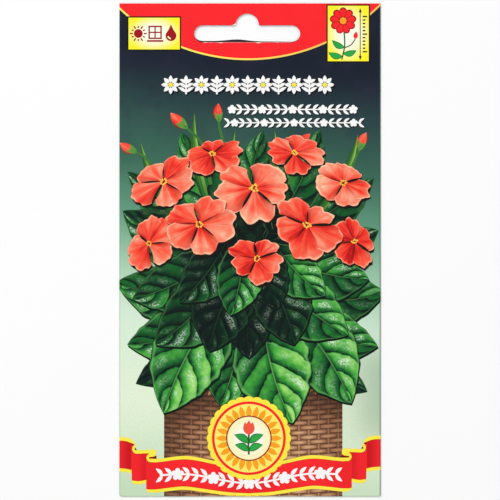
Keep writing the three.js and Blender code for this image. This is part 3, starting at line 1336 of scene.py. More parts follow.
@dataclass
class Header:
    """The red header above a yellow-edged curve, punched by the hang slot."""

    centre: Point = (-0.6, 115.9)
    radius: float = 57.5
    border: float = 0.55
    bleed: float = 1.0
    torn: float = 0.04
    tear_width: float = 0.55
    tear_spots: tuple[Point, ...] = ((-9.0, 0.2), (-13.6, 0.08), (2.6, 0.26), (8.4, 0.06))
    chip: Point = (1.1, 0.7)
    bared: float = 0.7

    def curve(self) -> list[Point]:
        """The header's lower curve, from left to right."""
        reach = FORM.side + self.bleed
        left = math.degrees(math.asin((reach + self.centre[0]) / self.radius))
        right = math.degrees(math.asin((reach - self.centre[0]) / self.radius))
        return arc(self.centre, self.radius, -90 - left, -90 + right, 56)

    def tear(self, x: float) -> float:
        """How far the red has flaked off the slot's lower edge."""
        flaked = self.torn * (1 + noise.noise(Vector((x * 1.7, 0.0, 3.1))))
        spots = (deep * math.exp(-(((x - at) / self.tear_width) ** 2)) for at, deep in self.tear_spots)
        return flaked + sum(spots)

    def chipped(self) -> list[Point]:
        """Where the red has chipped off the corner at the left foot of the slot's hump."""
        x, y = FORM.slot_offset - FORM.hump_radius, FORM.top - FORM.slot_from_top
        across, up = self.chip
        return [(x, y), (x + 0.07, y + up), (x - 0.3 * across, y + 0.4 * up), (x - across, y)]

    def build(self) -> None:
        """Prints the header with its flaked slot edge, and its border."""
        top = FORM.top + self.bleed
        curve = self.curve()
        field_outline = curve + [(curve[-1][0], top), (curve[0][0], top)]
        lip = FORM.slot()[: SLOT_STEPS + 1]
        torn = Film("slot_torn_edge", Inks.WHITE, 0.5).area(lip[::-1] + shifted(lip, 0.0, -self.bared))
        torn.area(self.chipped(), rise=1.0).lay()
        Film("header_red", Inks.RED, 1).area(field_outline, FORM.slot(self.tear, 90)[::-1]).lay()
        left, reach = (-FORM.side, 60.0), (2.1 * FORM.side, 4000.0)  # it deepens from left to right
        bright, deep = tint(255, 243, 104), tint(255, 196, 92)
        gold = GlowInk("border_gold", middle=left, reach=reach, bright=bright, rim=deep, core=0.1)
        Film("header_border", gold, 2).stroke(curve, self.border).lay()


@dataclass
class CareSigns:
    """Plain care signs on one film, all drawn at one size."""

    film: Film
    size: float = 1.0

    def about(self, at: Point, *places: Point) -> list[Point]:
        """Places of a sign, given from its middle at a size of one."""
        return [(at[0] + x * self.size, at[1] + y * self.size) for x, y in places]

    def sun(self, at: Point) -> None:
        """A round sun with twelve rays, long and short in turn."""
        self.film.area(disc(at, 1.35 * self.size, 28))
        near, short, long, rays = 1.66 * self.size, 2.3 * self.size, 2.6 * self.size, 12
        for i in range(rays):
            ray = spoke(at, (near, short if i % 2 else long), 360 / rays * i)
            self.film.stroke(ray, 0.42 * self.size)

    def window(self, at: Point) -> None:
        """A window with four panes over its sill."""
        half, bar, gap, lift = 2.05, 0.46, 0.2, 0.35
        near, far = (gap, half - bar), (bar - half, -gap)
        pairs = [(across, (low + lift, high + lift)) for across in (far, near) for low, high in (far, near)]
        holes = [self.about(at, *block(*across, *along))[::-1] for across, along in pairs]
        self.film.area(self.about(at, *block(-half, half, lift - half, lift + half)), *holes)
        sill, ledge, seat = 0.45, 0.5, 0.05
        self.film.area(self.about(at, *block(-half - sill, half + sill, -half - ledge, seat - half)))

    def drop(self, at: Point) -> None:
        """A drop of water with a light in it."""
        foot = (0, -0.65)
        tip = [(0.75, 1.15), (0.2, 2.35), (0, 2.8), (-0.2, 2.35), (-0.75, 1.15)]
        light = arc(foot, 1.12, 190, 268, 9) + arc(foot, 0.7, 268, 190, 9)
        body = self.about(at, *arc(foot, 1.65, -208, 28, 26), *tip)
        self.film.area(body, self.about(at, *light[::-1]))

    def sprout(self, at: Point) -> None:
        """A shoot with two seed leaves."""
        self.film.stroke(self.about(at, (0, -2.5), (0, 0.5)), 0.45 * self.size)
        for hand in (-1, 1):
            root, tip = self.about(at, (0, -0.35), (hand * 2.4, 1.85))
            self.film.area(blade(root, tip, 1.5 * self.size, hand * 0.35 * self.size, 12), rise=0.4)


@dataclass
class Label:
    """A small framed yellow label with a white glow behind its pictogram."""

    name: str
    left: float
    right: float
    low: float
    high: float
    frame_width: float = 0.4
    glow: float = 0.56

    @property
    def middle(self) -> Point:
        """The label's centre."""
        return (self.left + self.right) / 2, (self.low + self.high) / 2

    def build(self) -> None:
        """Prints the frame and the field."""
        width = self.frame_width
        frame_outline = block(self.left, self.right, self.low, self.high)
        Film(f"{self.name}_frame", Inks.BLACK, 3).area(frame_outline).lay()
        reach = ((self.right - self.left) * self.glow, (self.high - self.low) * self.glow)
        pale, deep = tint(255, 255, 238), tint(255, 244, 40)
        name = f"{self.name}_yellow"
        glow = GlowInk(name, middle=self.middle, reach=reach, bright=pale, rim=deep, core=0.25)
        inner = block(self.left + width, self.right - width, self.low + width, self.high - width)
        Film(f"{self.name}_field", glow, 4).area(inner).lay()


@dataclass
class CareLabel(Label):
    """The left label: sun, window and watering drop in a row."""

    def build(self) -> None:
        """Prints the label and its three signs."""
        super().build()
        x, y = self.middle
        film = Film("care_signs", Inks.MAROON, 5)
        signs = CareSigns(film)
        signs.sun((x - 4.85, y))
        signs.window((x + 0.3, y))
        signs.drop((x + 5.15, y))
        film.lay()


@dataclass
class HeightLabel(Label):
    """The right label: a round flower and its bud beside a height arrow with a plain rule."""

    petals: int = 9
    petal_span: Point = (1.1, 3.9)
    ticks: int = 11

    # Each leaf springs from a point of the stem, and has a reach, a lift and a width.
    stem_leaves: ClassVar[tuple[tuple[int, float, float, float], ...]] = (
        (1, -4.3, 1.3, 2.0), (2, 4.1, 1.1, 1.9), (4, -3.8, 2.4, 1.9),
    )

    def build(self) -> None:
        """Prints the label, the plant and the rule."""
        super().build()
        x, y = heart = (self.left + 5.1, self.high - 5.0)
        stem = curve_through([(x - 0.4, self.low + 0.9), (x + 0.5, self.low + 5.6), heart], 5)
        self.foliage(stem)
        self.flower(heart)
        self.rule(self.left + 10.35, self.low + 0.7, self.high - 1.1)

    def foliage(self, stem: Outline) -> None:
        """The stem, its leaves in turn left and right, and a bud on a side shoot.

        Args:
            stem: the stem's path, from the ground up.
        """
        x, y = fork = stem[4]
        shoot = curve_through([fork, (x + 2.0, y + 0.9), (x + 3.3, y + 2.7)], 4)
        edges = Film("height_leaf_edges", Inks.STEM, 5).stroke(stem, 0.42).stroke(shoot, 0.34, rise=0.3)
        leaves = Film("height_leaves", Inks.LEAF, 6)
        for i, (step, reach, lift, width) in enumerate(self.stem_leaves):
            x, y = root = stem[step]
            tip = (x + reach, y + lift)
            bow = math.copysign(0.45, -reach)
            edges.area(blade(root, tip, width, bow, 12), rise=0.4 + 0.1 * i)
            inner = blade(blend(root, tip, 0.06), blend(root, tip, 0.95), width - 0.42, bow, 12)
            leaves.area(inner, rise=0.1 * i)
        edges.lay()
        leaves.lay()
        x, y = foot = shoot[-1]
        bud = blade(foot, (x + 0.35, y + 2.3), 1.35, 0.0, 10)
        Film("height_bud", Inks.RED, 6.5).area(bud).lay()

    def flower(self, heart: Point) -> None:
        """Round petals with dark edges round a dotted orange eye."""
        turn = 10
        edge = rosette(heart, self.petal_span[1] + 0.2, self.petals, 0.2, turn)
        Film("height_petal_edges", Inks.MAROON, 7).area(edge).lay()
        petals = Film("height_petals", Inks.RED, 8)
        edges = Film("height_eye_edge", Inks.MAROON, 9).area(disc(heart, 1.28, 24))
        for i in range(self.petals):
            aim = 360 / self.petals * i + turn
            petals.area(blade(*spoke(heart, self.petal_span, aim), 1.6, 0.0, 12), rise=0.2 * (i % 3))
            petals.area(disc(polar(heart, 2.65, aim), 0.98, 20), rise=0.2 * (i % 3) + 0.1)
            edges.stroke(spoke(heart, (1.2, 3.4), aim + 180 / self.petals), 0.16, rise=0.3)
        petals.lay()
        edges.lay()
        Film("height_eye", Inks.AMBER, 9.6).area(rosette(heart, 1.1, 8, 0.16)).lay()

    def rule(self, x: float, low: float, high: float) -> None:
        """An upright two-headed arrow beside a row of ticks."""
        film = Film("height_rule", Inks.BLACK, 5).stroke([(x, low + 0.9), (x, high - 0.9)], 0.24)
        for tip, way in ((low, 1), (high, -1)):
            head = [(x, tip), (x + 0.45 * way, tip + 1.35 * way), (x - 0.45 * way, tip + 1.35 * way)]
            film.area(head, rise=0.3)
        inset, start, short, long = 2.6, 0.75, 1.55, 2.1
        for i in range(self.ticks):
            y = low + inset + (high - low - 2 * inset) * i / (self.ticks - 1)
            film.stroke([(x + start, y), (x + (short if i % 5 else long), y)], 0.42)
        film.lay()


@dataclass
class Frieze:
    """A level row of white blooms and sprays with a dark shadow, where a packet's heading stands."""

    left: float
    right: float
    middle: float
    tall: float
    blooms: int
    eye: float = 0.24
    shadow: Point = (0.42, -0.46)

    def bloom(self, film: Film, at: Point) -> None:
        """Eight petals round a dot."""
        reach = self.tall / 2
        for i in range(8):
            petal = blade(*spoke(at, (reach * self.eye, reach), 45 * i), reach * 0.43, 0.0, 8)
            film.area(petal, rise=0.4 * (i % 2))

    def spray(self, film: Film, at: Point) -> None:
        """An upright stem with three pairs of leaves and one at its tip."""
        x, y = at
        half = self.tall / 2
        film.stroke([(x, y - half), (x, y + half * 0.5)], self.tall * 0.09)
        film.area(blade((x, y + half * 0.3), (x, y + half), self.tall * 0.2, 0.0, 8), rise=0.8)
        for i, rise in enumerate((-0.78, -0.3, 0.16)):
            for hand in (-1, 1):
                root, reach = (x + 0.1 * hand, y + half * rise), self.tall * (0.43 - 0.05 * i)
                tip = (x + hand * reach, y + half * rise + reach * 0.62)
                film.area(blade(root, tip, self.tall * 0.17, hand * 0.18, 8), rise=0.4)

    def build(self) -> None:
        """Prints the shadow, then the row and the blooms' eyes."""
        reach = self.tall / 2
        gap = (self.right - self.left - self.tall) / (self.blooms - 1)
        for name, finish, level, (dx, dy) in (
            ("heading_shadow", Inks.SHADOW, 2, self.shadow),
            ("heading_white", Inks.WHITE, 4, (0.0, 0.0)),
        ):
            film = Film(name, finish, level)
            for i in range(self.blooms):
                x = self.left + reach + gap * i + dx
                self.bloom(film, (x, self.middle + dy))
                if i < self.blooms - 1:
                    self.spray(film, (x + gap / 2, self.middle + dy))
            film.lay()
        eyes = Film("heading_eyes", Inks.GOLD, 5)
        for i in range(self.blooms):
            eyes.area(disc((self.left + reach + gap * i, self.middle), reach * self.eye, 16))
        eyes.lay()


@dataclass
class Garland:
    """A stem with leaf pairs that point away from its middle, and small blooms along it."""

    name: str
    path: float | Callable[[float], float]
    left: float
    right: float
    tall: float
    pitch: float
    bloom_each: int
    shadow: Point | None = None
    level: float = 4.0
    face: Face = Face.FRONT

    def height(self, x: float) -> float:
        """How high its stem runs at a place."""
        return self.path(x) if callable(self.path) else self.path

    def motif(self, film: Film, offset: Point) -> None:
        """Adds the garland to a film, moved by an offset."""
        dx, dy = offset
        middle = (self.left + self.right) / 2
        count = round((self.right - self.left) / self.pitch)
        places = [self.left + (self.right - self.left) * i / count for i in range(count + 1)]
        film.stroke([(x + dx, self.height(x) + dy) for x in places], self.tall * 0.13)
        half = self.tall / 2
        for i, x in enumerate(places):
            y = self.height(x)
            out = math.copysign(1, x - middle)
            slope = (self.height(x + 0.5) - self.height(x - 0.5)) * out
            from_middle = i - count // 2
            if from_middle % self.bloom_each == 0:
                film.area(shifted(rosette((x, y), half * 0.9, 5, 0.36, 90), dx, dy), rise=0.8)
                continue
            for hand in (-1, 1):
                root = (x - out * self.pitch * 0.32, y + hand * 0.06)
                tip = (x + out * self.pitch * 0.46, y + hand * half + slope * self.pitch * 0.5)
                leaf = blade(root, tip, self.tall * 0.27, hand * out * 0.16, 8)
                film.area(shifted(leaf, dx, dy), rise=0.4)

    def build(self) -> None:
        """Prints the shadow, if it has one, and the garland."""
        if self.shadow:
            film = Film(f"{self.name}_shadow", Inks.SHADOW, self.level - 2, self.face)
            self.motif(film, self.shadow)
            film.lay()
        finish = Inks.WHITE if self.face is Face.FRONT else Inks.SEA
        film = Film(f"{self.name}_ornament", finish, self.level, self.face)
        self.motif(film, (0.0, 0.0))
        film.lay()


@dataclass(frozen=True)
class Leaf:
    """A leaf of the picture: where it runs, how wide each half is, how far it bows and how light it is."""

    root: Point
    tip: Point
    left: float
    right: float
    bow: float
    tone: float
    ripple: float = 0.03
    belly: float = 0.8

    def place(self, along: float, across: float) -> Place:
        """Where a share along and across the leaf lies."""
        start, run = Vector(self.root), Vector(self.tip) - Vector(self.root)
        normal = Vector((-run.y, run.x)).normalized()
        spine = start + run * along + normal * self.bow * 4 * along * (1 - along)
        side = across * 2 - 1
        half = self.left if side > 0 else self.right
        width = half * max(0.0, math.sin(math.pi * along**self.belly)) ** (0.6 + 0.25 * along)
        wave = math.sin(along * 33 + self.tone * 40) + 0.6 * math.sin(along * 59 + self.bow)
        width *= 1 + self.ripple * wave * abs(side) ** 3
        sweep = run.normalized() * 1.2 * abs(side) * math.sin(math.pi * along) * (half / 8)
        point = spine + normal * side * width + sweep
        return point.x, point.y, 0.0

    def build(self, name: str, finish: Finish, level: float, shaded: bool = False) -> None:
        """Prints the leaf.

        Args:
            name: what it is called.
            finish: its ink.
            level: how many films lie under it.
            shaded: whether it throws a shadow.
        """
        film = Film(name, finish, level)
        if shaded:
            film.shadow(30, 4, self.place, (0.22, -0.6), -0.4)
        film.patch(30, 14, self.place, self.tone).lay()


@dataclass(frozen=True)
class Petal:
    """One petal of a bloom."""

    centre: Point
    tilt: Matrix
    squash: float
    reach: float
    aim: float
    spread: float
    phase: float
    frill: float
    notch: float

    def place(self, along: float, across: float) -> Place:
        """Where a share along and across the petal lies. One side lies over its neighbour."""
        side = across * 2 - 1
        angle = self.aim + side * self.spread * (0.72 + 0.28 * along)
        rim = 1 - 0.27 * abs(side) ** 2.8 - self.notch * math.exp(-((side / 0.18) ** 2))
        waves = math.sin(side * 7.5 + self.phase) + 0.5 * math.sin(side * 17 + self.phase * 2)
        rim += self.frill * waves
        length = self.reach * (0.05 + 0.95 * along) * (1 + (rim - 1) * along**1.5)
        near = self.squash * (1 - 0.16 * math.sin(angle))
        turned = self.tilt @ Vector((length * math.cos(angle), length * math.sin(angle) * near))
        return self.centre[0] + turned.x, self.centre[1] + turned.y, -0.5 * side


@dataclass(frozen=True)
class Bloom:
    """An open five-petalled flower of the picture, tipped towards one side."""

    centre: Point
    radius: float
    squash: float
    turn: float
    tone: float

    @property
    def tilt(self) -> Matrix:
        """The turn of its oval."""
        return Matrix.Rotation(math.radians(self.turn), 2)

    def build(self, name: str, level: float, rng: random.Random) -> None:
        """Prints the petals on a level."""
        film = Film(name, PetalInk("petal_print"), level)
        spin = rng.uniform(0, TAU)
        for i in range(5):
            petal = Petal(
                centre=self.centre,
                tilt=self.tilt,
                squash=self.squash,
                reach=self.radius * rng.uniform(0.86, 1.1),
                aim=spin + TAU * i / 5 + rng.uniform(-0.13, 0.13),
                spread=math.radians(rng.uniform(37, 43)),
                phase=rng.uniform(0, TAU),
                frill=rng.uniform(0.02, 0.05),
                notch=rng.uniform(0.0, 0.12),
            )
            film.patch(14, 18, petal.place, min(1.0, max(0.0, self.tone + rng.uniform(-0.36, 0.36))))
            film.shadow(14, 8, petal.place, (0.28, -0.75), -0.65)
        film.lay()

    def eye(self, throats: Film, pollen: Film, rise: float, rng: random.Random) -> None:
        """Adds the throat and pollen dots.

        Args:
            throats, pollen: the films that they go into.
            rise: how far the bloom lies above those films' level.
            rng: draws their places.
        """
        throats.area(disc(self.centre, self.radius * 0.075, 16), rise=rise)
        for i in range(9):
            away = self.radius * rng.uniform(0.05, 0.12)
            dot = self.tilt @ Vector(polar((0, 0), away, 40 * i + rng.uniform(-12, 12)))
            at = (self.centre[0] + dot.x, self.centre[1] + dot.y * self.squash)
            pollen.area(disc(at, self.radius * rng.uniform(0.024, 0.036), 8), rise=rise)


@dataclass(frozen=True)
class Bud:
    """A closed flower on its stalk."""

    stalk: tuple[Point, ...]
    length: float
    tone: float

    def build(self, name: str, level: float, stalks: Film, cups: Film) -> None:
        """Prints the bud, and adds its stalk and green cup to their films.

        Args:
            name: the bud's name.
            level: how many films lie under it.
            stalks, cups: the films for its green parts.
        """
        path = curve_through(self.stalk, 8)
        stalks.stroke(path, lambda share: 1.15 - 0.45 * share)
        foot = Vector(path[-1])
        heading = (foot - Vector(path[-3])).normalized()
        side = Vector((-heading.y, heading.x))
        wide = self.length * 0.25
        petal = Leaf(tuple(foot), tuple(foot + heading * self.length), wide, wide, 0.3, self.tone, 0.0)
        Film(name, PetalInk("petal_print"), level).patch(12, 10, petal.place, self.tone).lay()
        for spread, reach in ((-0.9, 0.5), (0.9, 0.5), (0.0, 0.42)):
            end = foot + heading * self.length * reach + side * spread * wide
            cup = blade(tuple(foot - heading * 0.5), tuple(end), self.length * 0.2, -0.12 * spread, 8)
            cups.area(cup, rise=abs(spread))


@dataclass
class Picture:
    """The picture: a basket of open coral flowers over broad glossy leaves."""

    basket: Point = (-26.3, 28.3)
    basket_top: float = -42.5
    rim_depth: float = 2.6
    rim_droop: float = 0.9
    rim_strands: int = 19
    leaf_level: float = 3.5
    leaf_step: float = 0.6
    first_shaded: int = 9
    bloom_step: float = 1.2
    seed: int = 43

    # Each runs from its root to its tip, and has two half widths, a bow and a tone. The first lie deepest.
    leaves: ClassVar[tuple[Leaf, ...]] = (
        Leaf((-4, 2), (-37.5, 24), 8, 7, 2, 0.4),
        Leaf((4, 2), (38, 22), 7, 8, -2, 0.32),
        Leaf((0, 8), (4, 36.5), 6, 6.4, 1.5, 0.4),
        Leaf((-6, 5), (-21, 36), 7, 7.4, 1, 0.5),
        Leaf((6, 5), (21.5, 36.8), 7.4, 7, -1.5, 0.46),
        Leaf((-6, -4), (-39, 12), 8.6, 9, 2.5, 0.3),
        Leaf((6, -4), (39.4, 6), 9, 8.4, -2.5, 0.34),
        Leaf((-5, -20), (-35, -41), 8.6, 8, 2, 0.1),
        Leaf((5, -20), (36, -43.5), 8, 8.6, -2, 0.22),
        Leaf((-6, -12), (-41, -10), 9.4, 10, 3, 0.54),
        Leaf((6, -12), (41.5, -13), 10, 9, -3, 0.44),
        Leaf((-1, -22), (1, -50), 9, 9, 1, 0.16),
        Leaf((-6, -16), (-37.6, -29), 10, 9.6, 3.4, 0.62),
        Leaf((6, -16), (39.2, -29.5), 9.6, 10, -3, 0.6),
        Leaf((-3, -20), (-9, -47.5), 10, 10.6, 1.4, 0.66),
        Leaf((-8, -16), (-26.5, -50), 11.6, 11, -2.2, 0.88),
        Leaf((9, -16), (31, -47), 10.6, 11.6, 2.4, 0.84),
        Leaf((4, -18), (13, -53), 12.2, 11.6, -2, 1),
        Leaf((-9, -2), (-36, -15), 9, 8, 1.6, 0.42),
        Leaf((9, -2), (36.5, -9), 8, 9.4, -1.6, 0.52),
        Leaf((0.5, -8), (-0.5, -33), 8, 8, -0.6, 0.04),
        Leaf((-6, -4), (-29, -29), 10.4, 9.6, 2.4, 0.34),
        Leaf((6, -4), (30, -26), 9.6, 10.6, -2.4, 0.66),
        Leaf((-2, -6), (-12.5, -31), 9.2, 9.6, -1.6, 0.08),
        Leaf((3, -6), (13.5, -29), 9.4, 8.6, 1.8, 0.14),
        Leaf((-7, 3), (-21.5, -16), 7.6, 7, 1.2, 0.2),
        Leaf((7, 3), (23, -14), 7, 7.8, -1.4, 0.74),
        Leaf((3, 2), (8.5, -18), 7.2, 6.6, -1, 0.06),
        Leaf((-2, 2), (-6, -20), 7, 7.4, 1, 0.56),
    )

    grasses: ClassVar[tuple[Leaf, ...]] = (
        Leaf((-12, 12), (-17, 42), 1.5, 1.3, 1.8, 0.2, 0),
        Leaf((-20, 8), (-33.5, 33), 1.4, 1.2, 2.2, 0.7, 0),
        Leaf((19, 10), (33, 35.5), 1.3, 1.5, -2.4, 0.5, 0),
        Leaf((5, 12), (7.5, 36.5), 1.2, 1.3, -1.2, 0.8, 0),
        Leaf((-6, 12), (-4.5, 36.5), 1.3, 1.2, 1, 0.4, 0),
    )

    buds: ClassVar[tuple[Bud, ...]] = (
        Bud(((-12, 20), (-14.5, 32), (-19.5, 37.5)), 6.6, 0.2),
        Bud(((12, 20), (14, 30), (15.2, 32)), 4.8, 0.3),
        Bud(((-26, 16), (-31, 27), (-35, 30)), 5.6, 0.45),
        Bud(((27, 16), (31.5, 26), (33.5, 30.8)), 5.6, 0.15),
        Bud(((-4, 20), (-9, 36), (-9.5, 39.5)), 5.4, 0.35),
    )

    # Each stands at its centre, with a radius, how far it is tipped, which way, and a tone.
    blooms: ClassVar[tuple[Bloom, ...]] = (
        Bloom((-11.5, 29.5), 9, 0.62, 10, 0.25),
        Bloom((13.5, 29.8), 9.4, 0.64, -12, 0.5),
        Bloom((-26.5, 21), 10.6, 0.74, 24, 0.46),
        Bloom((28.6, 20.6), 9.8, 0.7, -26, 0.66),
        Bloom((-31, 2), 9.4, 0.78, 58, 0.34),
        Bloom((32, 2.6), 8.6, 0.72, -62, 0.2),
        Bloom((1.2, 19), 12, 0.8, -6, 0.66),
        Bloom((-15.5, 8), 10.6, 0.84, 16, 0.5),
        Bloom((17.5, 7.6), 11.2, 0.78, -16, 0.4),
        Bloom((2, -2.6), 9, 0.8, 6, 0.2),
    )

    def build(self) -> None:
        """Prints the picture from back to front."""
        left, right = self.basket
        side = block(left, right, FORM.bottom - 1, self.basket_top)
        Film("basket_side", WickerInk("wicker_print"), 1).area(side).lay()
        self.build_rim()
        self.build_shade()
        for i, leaf in enumerate(self.leaves):
            level = self.leaf_level + i * self.leaf_step
            leaf.build(f"leaf_{i + 1:02d}", LeafInk("leaf_print"), level, i >= self.first_shaded)
        self.build_flowers(self.leaf_level + len(self.leaves) * self.leaf_step + 1)

    def build_rim(self) -> None:
        """The basket's twisted rim."""
        left, right = self.basket
        film = Film("basket_rim", WithyInk("withy_print"), 2)
        pitch = (right - left + 2) / self.rim_strands
        for i in range(self.rim_strands):
            x = left - 1 + pitch * (i + 0.5)
            droop = self.rim_droop * (1 - ((x - (left + right) / 2) / ((right - left) / 2)) ** 2)
            y = self.basket_top - droop
            lean, half = pitch * 0.66, self.rim_depth / 2
            ends = (x - lean, y - half), (x + lean, y + half)
            strand = Leaf(*ends, 1.15, 1.15, 0.5, tone=i % 3 / 2, ripple=0.0, belly=1.0)

            def place(along: float, across: float, strand: Leaf = strand, i: int = i) -> Place:
                x, y, _ = strand.place(along, across)
                return x, y, i * 0.04

            film.patch(8, 6, place, strand.tone)
        film.lay()

    def build_shade(self) -> None:
        """The dark between the leaves."""
        centre, radius, depth, lobes, count = (0, -13), 27.0, 2.2, 9, 120
        reaches = [radius + depth * math.sin(lobes * TAU * i / count + 0.6) for i in range(count)]
        points = [polar(centre, reach, 360 / count * i) for i, reach in enumerate(reaches)]
        Film("foliage_shade", ShadeInk("foliage_shade_print"), 2.9).area(points).lay()

    def build_flowers(self, level: float) -> None:
        """The buds, then the flowers in a dome.

        Args:
            level: how many films lie under the buds.
        """
        for i, grass in enumerate(self.grasses):
            grass.build(f"grass_{i + 1}", ShootInk("shoot_print"), level)
        stalks = Film("bud_stalks", Inks.STALK, level + 0.5)
        cups = Film("bud_cups", Inks.CUP, level + 1.7)
        for i, bud in enumerate(self.buds):
            bud.build(f"bud_{i + 1}", level + 1.2, stalks, cups)
        stalks.lay()
        cups.lay()
        rng = random.Random(self.seed)
        level += 3.5
        throats = Film("throats", Inks.MAROON, level + 0.9)
        pollen = Film("pollen", Inks.POLLEN, level + 1.4)
        for i, bloom in enumerate(self.blooms):
            rise = i * self.bloom_step
            bloom.build(f"bloom_{i + 1:02d}", level + rise, rng)
            bloom.eye(throats, pollen, rise, rng)
        throats.lay()
        pollen.lay()


@dataclass
class Ribbon:
    """The red ribbon across the foot of the front, with yellow hems and two folded tails each side.

    Its lines are given for the left half, from the ribbon's middle. The right half mirrors them, and
    climbs a little.
    """

    middle: float = -0.3
    climb: float = 0.012
    hem: float = 1.08
    foot_hem: float = 1.0
    hem_edge: Point = (0.08, 0.12)
    level: float = 4.0
    ornament: float = -69.1
    ornament_dip: Point = (2.3, 11.5)
    ornament_crest: Triple = (0.6, 19.0, 7.0)

    outer_hem: ClassVar[Outline] = (
        (-41.5, -57.9), (-38.8, -57.85), (-36.95, -58.15), (-35.7, -58.85), (-34.85, -59.55),
    )
    # The hem's curls are arcs: a centre, a radius, and the angles where each starts and ends.
    curls: ClassVar[tuple[tuple[Point, float, float, float], ...]] = (
        ((-34.45, -60.9), 0.95, 112, 273),
        ((-29.3, -62.18), 0.56, 93, -81),
        ((-30.25, -63.63), 0.78, 99, 270),
    )
    upper_edge: ClassVar[Outline] = (
        (-28.6, -64.47), (-25.7, -64.17), (-22.6, -63.74), (-19.2, -63.55),
        (-15.8, -63.96), (-12.4, -64.68), (-9.0, -65.4),
    )
    lower_edge: ClassVar[Outline] = (
        (-31.45, -73.35), (-30.6, -73.72), (-28.6, -73.8), (-24.0, -73.25),
        (-19.8, -72.9), (-15.0, -73.45), (-7.0, -74.6), (0.0, -75.0),
    )

    def both(self, half: Outline) -> tuple[list[Point], list[Point]]:
        """A line of the left half where it lies, and its mirror image."""
        return shifted(half, self.middle, 0), [(self.middle - x, y - self.climb * x) for x, y in half]

    def add(self, film: Film, *parts: tuple[float, Outline]) -> None:
        """Adds outlines of the left half, each at a rise, and their mirror images to a film."""
        for rise, outline in parts:
            for half in self.both(outline):
                film.area(half, rise=rise)

    def taper(self, share: float) -> float:
        """The width of the outer hem, which narrows as it turns under."""
        return self.hem * (1 - 0.75 * smoothstep(0.55, 1.0, share))

    def swell(self, share: float) -> float:
        """The width of a foot hem, which starts thin where the cloth comes round."""
        return self.foot_hem * (0.5 + 0.5 * smoothstep(0.0, 0.25, share))

    def curled(self, path: Outline) -> Callable[[float], float]:
        """The width along the upper hem, which narrows where a curl turns it upright."""

        def width(share: float) -> float:
            ahead = heading(path, round(share * (len(path) - 1)))
            return self.hem * (1 - 0.3 * abs(ahead.y) / ahead.length)

        return width

    def build_cloth(self) -> None:
        """The red of the tails and the band."""
        film = Film("ribbon_red", RibbonInk("ribbon_red", middle=self.middle), self.level)
        outer = [(-41.5, -67.5), (-35.7, -67.6), (-35.7, -61.2), (-35.2, -60.3), (-34.9, -59.7)]
        outer += [(-36.1, -58.5), (-38.8, -58.0), (-41.5, -58.0)]
        inner = [(-35.9, -70.3), (-35.75, -70.75), (-35.1, -71.1), (-31.0, -70.7), (-31.0, -63.0)]
        inner += [(-30.5, -62.5), (-30.0, -61.7), (-35.4, -61.3), (-35.9, -61.6)]
        band = curve_through(self.lower_edge, 4) + [(0.0, -64.6), (-8.4, -64.6)]
        band += curve_through(self.upper_edge, 4)[::-1] + [(-30.2, -64.4), (-31.0, -63.9), (-31.5, -64.2)]
        self.add(film, (0, outer), (2, inner), (4, band))
        film.lay()

    def build_folds(self) -> None:
        """The dark inside of the ribbon, seen in its curls."""
        film = Film("ribbon_folds", Inks.FOLD_RED, self.level)
        small = [(-35.2, -61.2), (-34.75, -60.5), (-34.35, -61.2), (-34.6, -61.5)]
        large = [(-30.9, -63.55), (-29.9, -63.1), (-28.35, -63.0)]
        large += [(-28.25, -64.2), (-29.8, -64.35), (-30.6, -64.1)]
        under = [(-36.9, -58.4), (-35.6, -58.9), (-34.95, -59.6), (-35.75, -59.9), (-36.2, -59.1)]
        self.add(film, (4.6, small), (4.6, large), (0.6, under))
        film.lay()

    def build_hems(self) -> None:
        """All the yellow hems, each over a thin dark line on its red side."""
        hems = Film("ribbon_hems", Inks.GOLD, self.level)
        edges = Film("ribbon_hem_edges", Inks.HEM_EDGE, self.level)
        outer_foot = [(-41.5, -67.3), (-39.5, -67.35), (-37.7, -67.5), (-36.0, -67.85)]
        inner_foot = [(-35.75, -70.75), (-35.1, -71.15), (-34.0, -71.28), (-32.7, -71.15), (-31.3, -70.85)]
        upper = [point for curl in self.curls for point in arc(*curl, 8)] + curve_through(self.upper_edge, 5)
        dx, dy = self.hem_edge
        for rise, width, line, up in (
            (1, self.foot_hem, curve_through(outer_foot, 5), 1),
            (3, self.swell, curve_through(inner_foot, 5), 1),
            (1, self.taper, curve_through(self.outer_hem, 5), -1),
            (5, self.curled(upper), upper, -1),
            (5, self.swell, curve_through(self.lower_edge, 5), 1),
        ):
            for path, edge in zip(self.both(line), self.both(shifted(line, dx * up, dy * up))):
                hems.stroke(path, width, rise=rise)
                edges.stroke(edge, width, rise=rise - 0.35)
        for path in self.both([(-30.7, -62.33), (-29.0, -62.18)]):
            hems.stroke(path, 0.5, rise=4.9)
        edges.lay()
        hems.lay()

    def midline(self, x: float) -> float:
        """Where the ornament runs: midway between the hems, lower under the seal."""
        away = abs(x - self.middle)
        rest = self.ornament + self.climb * max(0.0, x)
        dip, dip_span = self.ornament_dip
        crest, crest_at, crest_span = self.ornament_crest
        lift = crest * math.exp(-(((away - crest_at) / crest_span) ** 2))
        return rest - dip * math.exp(-((away / dip_span) ** 2)) + lift

    def build(self) -> None:
        """Prints the ribbon and its ornament."""
        self.build_cloth()
        self.build_folds()
        self.build_hems()
        level = self.level + 6
        Garland("ribbon_garland", self.midline, -27.6, 27.0, 4.3, 2.73, bloom_each=4, level=level).build()


